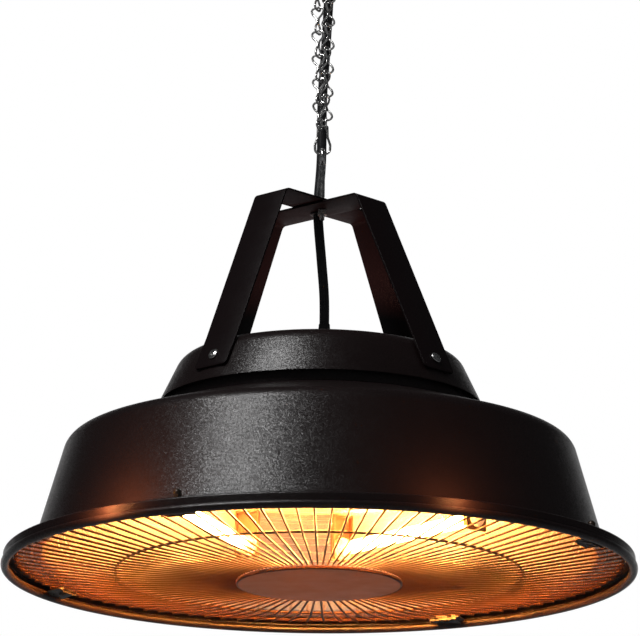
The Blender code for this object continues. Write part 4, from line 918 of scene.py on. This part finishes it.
class HEATER_OT_straps(Operator):
    """Bend the crossed straps and fit the grommet in them"""

    bl_idname = "heater.straps"
    bl_label = "Straps and grommet"

    # Name, rim height, azimuth, radii of the back and front bends, and CAD node
    straps = (
        ("strap_over", 0.3563, STRAP_AZIMUTHS[0], 0.0640, 0.0700, "strap_upper"),
        ("strap_under", 0.3540, STRAP_AZIMUTHS[2], 0.0700, 0.0617, "strap_lower"),
    )

    def execute(self, context):
        sizes = context.scene.heater_shade
        bend = sizes.strap_bend
        clear = (GAP + STRAP_SHEET / 2) / math.cos(CAP_TILT)
        foot_z = STRAP_SCREW_HEIGHT - 0.013 * math.cos(CAP_TILT)
        foot_r = cap_wall_radius(foot_z) + clear
        edge_r = cap_wall_radius(CAP_TOP) + clear
        cable_r = context.scene.heater_chain.cable_radius
        for name, height, azimuth, back_r, front_r, node in self.straps:
            path = [(-foot_r, foot_z), (-edge_r, CAP_TOP), (-back_r, height), (front_r, height),
                    (edge_r, CAP_TOP), (foot_r, foot_z)]
            path = rounded(path, (0, 2 * bend, bend, bend, 2 * bend, 0), 8)
            strap = prism(folded(path, STRAP_SHEET), sizes.strap_width, around(0, azimuth))
            round_ends(strap, STRAP_SHEET, 0.004, 5, at_rim(foot_z + 0.002))
            soften(strap, 0.00035, 2)
            hole = Matrix.Translation((*STRAP_HOLE_XY, at_rim(0.355)))
            strap = cut(strap, cylinder(cable_r + 0.0019, 0.03, 32, hole))
            show(name, strap, "strap", "heater", node)

        lower = grommet_edge(cable_r, -(STRAP_TOP - STRAP_FOOT) / 2 - GAP)
        path = lower + [(radius, -height) for radius, height in lower[::-1]]
        place = Matrix.Translation((*STRAP_HOLE_XY, at_rim((STRAP_TOP + STRAP_FOOT) / 2)))
        ring = turned(rounded(path, (0, 0.0006, 0.0002, 0, 0, 0.0002, 0.0006, 0), 4), 40, place)
        show("strap_cable_grommet", ring, "rubber", "heater", "strap_grommet")
        return {"FINISHED"}


class HEATER_OT_strap_screws(Operator):
    """Drive the screws of the strap feet"""

    bl_idname = "heater.strap_screws"
    bl_label = "Strap screws"

    def execute(self, context):
        seat = 2 * GAP + STRAP_SHEET
        for index, azimuth in enumerate(STRAP_AZIMUTHS, 1):
            place = strap_screw_place(azimuth) @ Matrix.Rotation(math.radians(17 * index), 4, "Z")
            screw = gather(pan_head(0.0055, 0.0028, seat, place),
                           threaded(M4_RADIUS, -0.0076, seat, place=place))
            show(f"strap_foot_screw_{index}", screw, "chain", "heater", f"strap_screw_{index}",
                 slot="zinc_plated_steel")
        return {"FINISHED"}


class HEATER_OT_gland(Operator):
    """Fit the cable gland in the cap's top, with the ribbed sleeve on the cable"""

    bl_idname = "heater.gland"
    bl_label = "Cable gland"

    def execute(self, context):
        cable_r = context.scene.heater_chain.cable_radius
        bore = cable_r + 0.0003
        seat = CAP_TOP + GAP
        low = seat + 0.005
        top = low + 0.0128
        place = Matrix.Translation((*GLAND_XY, RIM))
        corners = [(bore, low), (0.0092, low), (0.0092, low + 0.0075), (0.0068, top), (bore, top)]
        dome = turned(rounded(corners, (0, 0.0004, 0.0025, 0.0008, 0), 5), 48, place)
        thread_low = CAP_TOP - 0.010
        thread = turned([(bore, thread_low), (0.008, thread_low), (0.008, seat), (bore, seat)], 32, place)
        ribs = []
        count = 16
        for index in range(count):
            turn = Matrix.Rotation(FULL_TURN * index / count, 4, "Z")
            ribs.append(block((0.0010, 0.0010, 0.0066), (0.0090, 0, low + 0.0036), 0.0003, 1, place @ turn))
        body = hexagon_nut(0.0115, seat, low, bore, place)
        show("cable_entry_gland", gather(body, dome, thread, *ribs), "plastic", "heater", "cable_gland")

        foot, tip = low + 0.0100, low + 0.0320
        plain, wall, taper, rings = 0.004, 0.0018, 0.0012, 8
        outline = [(cable_r + 0.0004, foot), (cable_r + wall, foot)]
        for index in range(rings):
            start = foot + plain + (tip - foot - plain) * index / rings
            ring_r = cable_r + wall - taper * index / rings
            outline += [(ring_r, start), (ring_r, start + 0.0014), (ring_r - 0.0004, start + 0.0015)]
        outline += [(cable_r + wall - taper, tip), (cable_r + 0.0004, tip)]
        show("cable_strain_relief", turned(outline, 40, place), "rubber", "heater")
        return {"FINISHED"}


class HEATER_OT_eye_bolt(Operator):
    """Make the eye bolt and its two nuts"""

    bl_idname = "heater.eye_bolt"
    bl_label = "Eye bolt"

    def execute(self, context):
        sizes = context.scene.heater_chain
        wire = sizes.eye_wire_radius
        ring_r = sizes.eye_hole_radius + wire
        eye = turned(circle(wire, 20, (ring_r, 0.0)), 64, Matrix.Translation((0, 0, at_rim(EYE_HEIGHT))) @ FACE_X)
        top = at_rim(EYE_HEIGHT - ring_r)
        low = at_rim(STRAP_TOP + 0.0085)
        neck = turned([(0, low), (0.0023, low), (0.0025, low + 0.001), (0.0025, top - 0.003), (0.0034, top),
                       (0, top)], 28, closed=False)
        rod = threaded(0.0025, at_rim(STRAP_FOOT - GAP - 0.010), low, 0.0008, 0.0003)
        show("eye_and_shank", gather(eye, neck, rod), "chain", "heater", "eye_bolt", slot="zinc_plated_steel")
        nut_height = 0.005
        for name, base, node in (("eye_top_nut", STRAP_TOP + GAP, "eye_nut_upper"),
                                 ("eye_bottom_nut", STRAP_FOOT - GAP - nut_height, "eye_nut_lower")):
            show(name, hexagon_nut(0.0047, at_rim(base), at_rim(base + nut_height), 0.0026), "steel", "heater", node)
        return {"FINISHED"}


def link_path(sizes):
    """Return one twisted double-loop link: its upper loop faces Y, its lower loop faces X."""
    half = sizes.link_half_width
    reach = sizes.link_length / 2
    # A quarter of the link, as shares of its half width and of its reach
    side = ((0.0, 1.0), (0.50, 0.99), (0.86, 0.88), (0.94, 0.73), (0.74, 0.50), (0.44, 0.33), (0.20, 0.20),
            (0.15, 0.07))
    full = [(out * half, up * reach) for out, up in side]
    full += [(out, -up) for out, up in full[:0:-1]] + [(0.0, -reach)]
    points = []
    for sign, row in ((1, full), (-1, full[-2:0:-1])):
        for out, up in row:
            turn = math.pi / 4 * (1 - math.tanh(up / (0.16 * reach)))
            points.append(Vector((sign * out * math.cos(turn), sign * out * math.sin(turn), up)))
    per_span = 4
    wrapped = [*points[-2:], *points, *points[:2]]
    return smooth_route(wrapped, per_span)[2 * per_span : -(2 * per_span) - 1]


class HEATER_OT_chain(Operator):
    """Hang both strands of twisted links, their end rings and the joining ring"""

    bl_idname = "heater.chain"
    bl_label = "Chain"

    top_x = {"left": -0.0066, "right": 0.0054}
    foot_x = {"left": -0.0030, "right": 0.0030}
    depth = {"left": -0.0018, "right": 0.0018}
    end_ring_radius = 0.0056

    def strand_point(self, side, height, foot, top):
        """Return where a strand's middle lies at a rim height."""
        part = (height - foot) / (top - foot)
        apart = min(1, part / 0.10, (1 - part) / 0.10)
        x = self.foot_x[side] + part * (self.top_x[side] - self.foot_x[side])
        return Vector((x, self.depth[side] * apart, at_rim(height)))

    def stand(self, side, low, reach, turn_deg, foot, top):
        """Return the frame of a piece that stands on its strand, from its foot along its length."""
        start = self.strand_point(side, low, foot, top)
        end = self.strand_point(side, low + reach, foot, top)
        lean = Vector((0, 0, 1)).rotation_difference(end - start).to_matrix().to_4x4()
        return Matrix.Translation((start + end) / 2) @ lean @ Matrix.Rotation(math.radians(turn_deg), 4, "Z")

    def execute(self, context):
        sizes = context.scene.heater_chain
        wire = sizes.wire_radius
        hook = 2 * wire + GAP
        pitch = sizes.link_length - hook
        ring_pitch = 2 * self.end_ring_radius - hook
        joining_foot = EYE_HEIGHT + sizes.eye_hole_radius - sizes.joining_radius - GAP
        joining_top = joining_foot + 0.0277
        foot = joining_top - sizes.joining_radius - wire - GAP
        top = foot + sizes.link_count * pitch + ring_pitch + hook
        loop = [Vector((0, out, up)) for up, out in circle(self.end_ring_radius, 48)]
        for side, turn in (("left", -24), ("right", 66)):
            ring_at_top = side == "left"
            first = foot + (0 if ring_at_top else ring_pitch)
            for index in range(sizes.link_count):
                place = self.stand(side, first + index * pitch, sizes.link_length, turn, foot, top)
                number = sizes.link_count - index
                show(f"twisted_link_{side}_{number}", swept(link_path(sizes), wire, 10, True, place), "chain",
                     "chain", f"chain_{side}_{number}", sharp_deg=80)
            low = foot + (sizes.link_count * pitch if ring_at_top else 0)
            place = self.stand(side, low, 2 * self.end_ring_radius, 0, foot, top)
            show(f"round_ring_{side}", swept(loop, wire, 10, True, place), "chain", "chain", f"{side}_end_ring",
                 sharp_deg=80)

        # The right half of the joining ring, from its top to its foot: half widths, heights, bend radii
        half = ((0.0045, joining_top, 0.0014), (0.0048, joining_top - 0.0110, 0.0060),
                (0.0074, joining_top - 0.0190, 0.0050), (0.0070, joining_foot, 0.0048))
        corners = [(-half[0][0], half[0][1], half[0][2]), *half]
        corners += [(-out, up, bend) for out, up, bend in half[:0:-1]]
        path = rounded([(out, 0, up) for out, up, _ in corners], [bend for _, _, bend in corners], 8, True)
        path = [Vector((point.x, point.y, at_rim(point.z))) for point in path]
        show("strand_joining_ring", swept(path, sizes.joining_radius, 12, True), "chain", "chain", "joining_ring",
             sharp_deg=80)
        return {"FINISHED"}


class HEATER_OT_hanger(Operator):
    """Make the ceiling plate, the hanger bracket, its pin and screws, and the ceiling grommet"""

    bl_idname = "heater.hanger"
    bl_label = "Ceiling hanger"

    plate_radius = 0.055
    bracket_half = 0.018
    bracket_width = 0.024

    def execute(self, context):
        sheet = PLATE_SHEET
        cable_r = context.scene.heater_chain.cable_radius
        cable_place = Matrix.Translation((*PLATE_HOLE_XY, 0))
        corners = [(0, -sheet), (self.plate_radius, -sheet), (self.plate_radius, 0), (0, 0)]
        plate = turned(rounded(corners, (0, 0.0012, 0.0004, 0), 5), 128, closed=False)
        plate = cut(plate, cylinder(cable_r + 0.0020, 0.02, 36, cable_place))
        show("ceiling_rose_plate", plate, "steel", "ceiling", "ceiling_plate")

        half = self.bracket_half - sheet / 2
        middle = -sheet - GAP - sheet / 2
        foot = PIN_Z - 0.012
        across = Matrix.Translation((0, 0, PIN_Z)) @ FACE_X
        path = rounded([(-half, foot), (-half, middle), (half, middle), (half, foot)], (0, 0.004, 0.004, 0), 8)
        bracket = prism(folded(path, sheet), self.bracket_width)
        round_ends(bracket, sheet, 0.007, 8, foot + GAP)
        soften(bracket, 0.0004, 2)
        bracket = cut(bracket, cylinder(0.0022, 0.06, 24, across))
        show("hanger_u_bracket", bracket, "steel", "ceiling", "hanger_bracket")

        face = self.bracket_half + GAP
        shank_end = -0.0145
        shank = [(0, shank_end), (M4_RADIUS, shank_end), (M4_RADIUS, face), (0, face)]
        pin = gather(turned(shank, 24, across, closed=False),
                     threaded(M4_RADIUS, -face - 0.0055, shank_end, place=across),
                     pan_head(0.0052, 0.0034, face, across))
        show("hanger_cross_pin", pin, "steel", "ceiling", "hanger_pin")
        nut = hexagon_nut(0.0052, -face - 0.0035, -face, 0.0021, across)
        show("hanger_lock_nut", nut, "steel", "ceiling", "hanger_pin_nut")

        head = sheet + GAP + sheet + GAP
        for index, x in enumerate((-0.009, 0.009), 1):
            flip = Matrix.Translation((x, 0, 0)) @ FLIP
            screw = gather(pan_head(0.0042, 0.0024, head, flip), threaded(0.0022, GAP, head, place=flip))
            show(f"ceiling_fixing_screw_{index}", screw, "steel", "ceiling", f"ceiling_screw_{index}")

        lower = grommet_edge(cable_r, -sheet - GAP)
        path = lower + [(lower[3][0], -GAP), (lower[0][0], -GAP)]
        ring = turned(rounded(path, (0, 0.0006, 0, 0, 0, 0), 4), 40, cable_place)
        show("ceiling_cable_grommet", ring, "rubber", "ceiling", "ceiling_grommet")
        return {"FINISHED"}


def lip_height(radius):
    """Return the rim height of the lip's top side at a radius."""
    sizes = bpy.context.scene.heater_shade
    return sizes.flange_height + LIP_SLOPE * (sizes.rim_radius - sizes.flange_inset - radius)


def reflector_path():
    """Return the reflector's upper side, from its flange's edge to the middle line."""
    shade = bpy.context.scene.heater_shade
    sizes = bpy.context.scene.heater_grille
    flange_r = shade.rim_radius - shade.flange_inset
    under_lip = (SHADE_SHEET + GAP) / math.cos(LIP_TILT)
    rise, half_ring = 0.0025, 0.004
    edge_r = flange_r - SHADE_SHEET - 0.008
    mouth_r = flange_r - shade.lip_width - 0.009
    mouth_z = lip_height(mouth_r) - under_lip
    ceiling_z = mouth_z + sizes.ceiling_height
    path = [(edge_r, lip_height(edge_r) - under_lip), (mouth_r, mouth_z), (sizes.ceiling_radius, ceiling_z)]
    radii = [0, 0.003, 0.014]
    for part in (0.80, 0.50):
        ring_r = sizes.ceiling_radius * part
        path += [(ring_r + half_ring, ceiling_z), (ring_r, ceiling_z + rise), (ring_r - half_ring, ceiling_z)]
        radii += [0.0025] * 3
    return rounded([*path, (0, ceiling_z)], [*radii, 0], 6)


class HEATER_OT_reflector(Operator):
    """Spin the polished reflector with its pressed rings"""

    bl_idname = "heater.reflector"
    bl_label = "Reflector"

    def execute(self, context):
        upper = reflector_path()
        lower = offset(upper, REFLECTOR_SHEET)
        lower[-1] = Vector((0, upper[-1][1] - REFLECTOR_SHEET))
        show("reflector_bowl", turned(raised(lower[::-1] + upper), 256), "reflector", "heater", "reflector")
        return {"FINISHED"}


def lamp_place(name):
    """Return the frame of a lamp: X along its axis, its zero at the middle of the tube."""
    sizes = bpy.context.scene.heater_grille
    height = reflector_path()[-1][1] - REFLECTOR_SHEET - sizes.lamp_drop
    return around(sizes.lamp_circle, LAMP_AZIMUTHS[name], height) @ Matrix.Rotation(math.pi / 2, 4, "Z")


def lamp_grip():
    """Return how far from a lamp's middle its ceramic ends begin."""
    return bpy.context.scene.heater_grille.glass_length / 2 - 0.006


class HEATER_OT_lamps(Operator):
    """Make the lit halogen tubes with their ceramic ends"""

    bl_idname = "heater.lamps"
    bl_label = "Halogen tubes"

    # The pinched ends of the tube, and how its glow fades towards them
    pinch = 0.010
    inset = 0.012
    glow_inset = 0.013
    glow_fade = 0.010
    glow_at_ends = 0.06

    def execute(self, context):
        sizes = context.scene.heater_grille
        half = sizes.glass_length / 2
        radius = sizes.glass_radius
        grip = lamp_grip()
        end = grip + 0.016
        steps = 44
        straight = 2 * half - 2 * self.inset
        tube = [(0, -half), (radius * 0.7, -half), (radius * 0.98, -half + self.pinch)]
        tube += [(radius, -half + self.inset + straight * step / steps) for step in range(steps + 1)]
        tube += [(radius * 0.98, half - self.pinch), (radius * 0.7, half), (0, half)]
        cap = [(0, grip), (0.0062, grip), (0.0085, grip + 0.0010), (0.0085, end - 0.004), (0.0060, end - 0.003),
               (0.0060, end), (0, end)]
        cap = rounded(cap, (0, 0, 0.0006, 0.0006, 0, 0.0005, 0), 3)
        for name in LAMP_AZIMUTHS:
            place = lamp_place(name) @ FACE_X
            glass = turned(tube, 28, closed=False)
            layer = glass.verts.layers.float.new("glow")
            for vert in glass.verts:
                inside = (half - self.glow_inset - abs(vert.co.z)) / self.glow_fade
                vert[layer] = self.glow_at_ends + (1 - self.glow_at_ends) * min(1.0, max(0.0, inside))
            show(f"quartz_tube_{name}", placed(glass, place), "quartz", "heater", f"lamp_{name}", sharp_deg=60)
            ends = [turned(cap, 28, place @ flip, closed=False) for flip in (FLIP, Matrix.Identity(4))]
            show(f"ceramic_ends_{name}", gather(*ends), "ceramic", "heater")
        return {"FINISHED"}


class HEATER_OT_holders(Operator):
    """Fold the sheet holders that carry the ends of the tubes"""

    bl_idname = "heater.holders"
    bl_label = "Lamp holders"

    below = 0.012
    width = 0.024
    deep = 0.006
    bore = 0.0088
    edge = 0.0003

    def execute(self, context):
        sheet, width, deep, bore, edge = HOLDER_SHEET, self.width, self.deep, self.bore, self.edge
        high = context.scene.heater_grille.lamp_drop - GAP
        tall = high + self.below
        middle = (high - self.below) / 2
        for name in LAMP_AZIMUTHS:
            for side, letter in ((-1, "a"), (1, "b")):
                place = lamp_place(name) @ Matrix.Translation((side * (lamp_grip() + 0.008), 0, 0))
                plate = block((sheet, width, tall), (side * (deep - sheet) / 2, 0, middle), edge)
                plate = cut(plate, cylinder(bore, 0.03, 32, FACE_X))
                flanges = [block((deep, sheet, tall - 0.004), (0, hand * (width - sheet) / 2, middle + 0.002), edge)
                           for hand in (-1, 1)]
                foot = block((deep, width, sheet), (0, 0, high - sheet / 2), edge)
                show(f"holder_sheet_{name}_{letter}", placed(gather(plate, *flanges, foot), place), "holder",
                     "heater", f"lamp_holder_{name}_{letter}")
                bush = [(bore, -deep / 2), (bore + 0.002, -deep / 2), (bore + 0.002, deep / 2 - sheet),
                        (bore, deep / 2 - sheet)]
                bush = turned(bush, 32, place @ Matrix.Rotation(side * math.pi / 2, 4, "Y"))
                show(f"holder_bush_{name}_{letter}", bush, "ceramic", "heater", slot="galvanised_sheet")
        return {"FINISHED"}


class HEATER_OT_grille(Operator):
    """Make the guard: the fan of wires, its rings and the disc"""

    bl_idname = "heater.grille"
    bl_label = "Guard"

    sink = 0.0006
    dish_depth = 0.01135
    disc_depth = 0.0043
    disc_height = 0.0031
    disc_sheet = 0.0010

    def execute(self, context):
        sizes = context.scene.heater_grille
        count = sizes.wire_count
        sheets = SHADE_SHEET + GAP + REFLECTOR_SHEET + GAP + sizes.outer_wire
        outer = lip_height(sizes.outer_ring) - sheets / math.cos(LIP_TILT)
        middle = outer - sizes.outer_wire - sizes.wire_radius + self.sink - self.dish_depth
        inner = middle - self.disc_depth
        weld = Vector((sizes.outer_ring, 0, outer - sizes.outer_wire + self.sink - sizes.wire_radius))
        bend = Vector((sizes.mid_ring, 0, middle))
        start = Vector((sizes.disc_radius - 0.0008, 0, inner))
        stop = weld + (weld - bend).normalized() * sizes.outer_wire
        wire = swept(rounded([start, bend, stop], (0, 0.02, 0), 4), sizes.wire_radius, 8,
                     place=around(0, CLIP_AZIMUTHS[0] + 180 / count))
        bmesh.ops.spin(wire, geom=wire.verts[:] + wire.edges[:] + wire.faces[:], axis=(0, 0, 1),
                       angle=FULL_TURN * (count - 1) / count, steps=count - 1, use_duplicate=True)
        ring = turned(circle(sizes.outer_wire, 14, (sizes.outer_ring, at_rim(outer))), 240)
        show("guard_wire_fan", gather(wire, ring), "wire", "heater", "grille_wires", sharp_deg=60)
        height = at_rim(middle + sizes.wire_radius + sizes.mid_wire)
        ring = turned(circle(sizes.mid_wire, 14, (sizes.mid_ring, height)), 200)
        show("guard_mid_ring", ring, "wire", "heater", "grille_mid_ring")

        base = inner - sizes.wire_radius - GAP - self.disc_height
        corners = [(0, base), (sizes.disc_radius, base), (sizes.disc_radius, base + self.disc_height)]
        lower = rounded(corners, (0, 0.0014, 0), 6)
        upper = offset(lower, self.disc_sheet)
        upper[0] = Vector((0, base + self.disc_sheet))
        disc = turned(raised(lower + upper[::-1]), 128, closed=False)
        show("guard_disc", disc, "disc", "heater", "grille_disc")
        return {"FINISHED"}


class HEATER_OT_clips(Operator):
    """Fit the clips under the guard, with their bolts and the nuts on the lip"""

    bl_idname = "heater.clips"
    bl_label = "Guard clips"

    sheet = 0.0012
    width = 0.016
    half_span = 0.017
    end_lift = 0.0009
    end_length = 0.004
    washer_top = 0.0009
    nut_height = 0.0036
    cap_low = 0.0042
    cap_high = 0.0098
    cap_radius = 0.0037

    def execute(self, context):
        sheet, low, high, lift = self.sheet, self.cap_low, self.cap_high, self.end_lift
        half, flat = self.half_span, self.half_span - self.end_length
        bolt_r = context.scene.heater_grille.outer_ring - 0.0062
        depth = lip_height(bolt_r) - (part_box("grille_clip_1")[0].z - RIM) - 0.0026
        path = rounded([(-half, lift), (-flat, 0), (flat, 0), (half, lift)], (0, 0.003, 0.003, 0), 4)
        crown = rounded([(0, low), (self.cap_radius, low), (self.cap_radius, high), (0, high)],
                        (0, 0, 0.0034, 0), 8)
        washer = [(M4_RADIUS, GAP), (0.0046, GAP), (0.0046, self.washer_top), (M4_RADIUS, self.washer_top)]
        turn = Matrix.Rotation(math.pi / 2, 4, "Z") @ Matrix.Translation((0, 0, -depth + sheet / 2 - GAP))
        for index, azimuth in enumerate(CLIP_AZIMUTHS, 1):
            place = around(bolt_r, azimuth, lip_height(bolt_r)) @ Matrix.Rotation(LIP_TILT, 4, "Y")
            plate = prism(folded(path, sheet), self.width)
            round_ends(plate, sheet, 0.003, 4)
            soften(plate, 0.0002, 1)
            parts = (
                placed(plate, place @ turn),
                pan_head(0.0038, 0.0022, depth, place @ FLIP),
                turned(washer, 32, place),
                hexagon_nut(0.0044, self.washer_top, self.washer_top + self.nut_height, 0.0019, place),
                turned(crown, 28, place, closed=False),
                threaded(M4_RADIUS, -depth, 0.0041, place=place),
            )
            show(f"guard_clip_{index}", gather(*parts), "clip", "heater", f"grille_clip_{index}")
        return {"FINISHED"}


class HEATER_OT_inner_parts(Operator):
    """Finish the solids that are shown as they are, inside the cap and over the reflector"""

    bl_idname = "heater.inner_parts"
    bl_label = "Inner parts"

    def execute(self, context):
        for node, look in (("gear_plate", "galvanised"), ("terminal_block", "plastic"), ("gland_nut", "plastic")):
            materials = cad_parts[node].data.materials
            materials.clear()
            materials.append(finish(look))
        return {"FINISHED"}


GROUPS = {
    "heater_shade": ShadeSizes,
    "heater_chain": ChainSizes,
    "heater_grille": GrilleSizes,
    "heater_finishes": HeaterFinishes,
}
OPERATORS = (
    HEATER_OT_stage,
    HEATER_OT_cable,
    HEATER_OT_shade,
    HEATER_OT_cap,
    HEATER_OT_straps,
    HEATER_OT_strap_screws,
    HEATER_OT_gland,
    HEATER_OT_eye_bolt,
    HEATER_OT_chain,
    HEATER_OT_hanger,
    HEATER_OT_reflector,
    HEATER_OT_lamps,
    HEATER_OT_holders,
    HEATER_OT_grille,
    HEATER_OT_clips,
    HEATER_OT_inner_parts,
)


class HEATER_PT_panel(Panel):
    """Lists the heater's pieces and sizes in the sidebar"""

    bl_idname = "HEATER_PT_panel"
    bl_label = "Patio heater"
    bl_space_type = "VIEW_3D"
    bl_region_type = "UI"
    bl_category = "Heater"

    def draw(self, context):
        for operator in OPERATORS:
            self.layout.operator(operator.bl_idname)
        for group_name in GROUPS:
            group = getattr(context.scene, group_name)
            box = self.layout.box()
            for name in group.bl_rna.properties.keys():
                if name not in ("rna_type", "name"):
                    box.prop(group, name)


CLASSES = (*GROUPS.values(), *OPERATORS, HEATER_PT_panel)


def register():
    """Register the classes and hang the settings on the scene."""
    for found in CLASSES:
        bpy.utils.register_class(found)
    for name, group in GROUPS.items():
        setattr(bpy.types.Scene, name, PointerProperty(type=group))


def unregister():
    """Take the settings and the classes away."""
    for name in GROUPS:
        delattr(bpy.types.Scene, name)
    for found in reversed(CLASSES):
        bpy.utils.unregister_class(found)


def main():
    register()
    for operator in OPERATORS:
        group, name = operator.bl_idname.split(".")
        getattr(getattr(bpy.ops, group), name)()


if __name__ == "__main__":
    main()
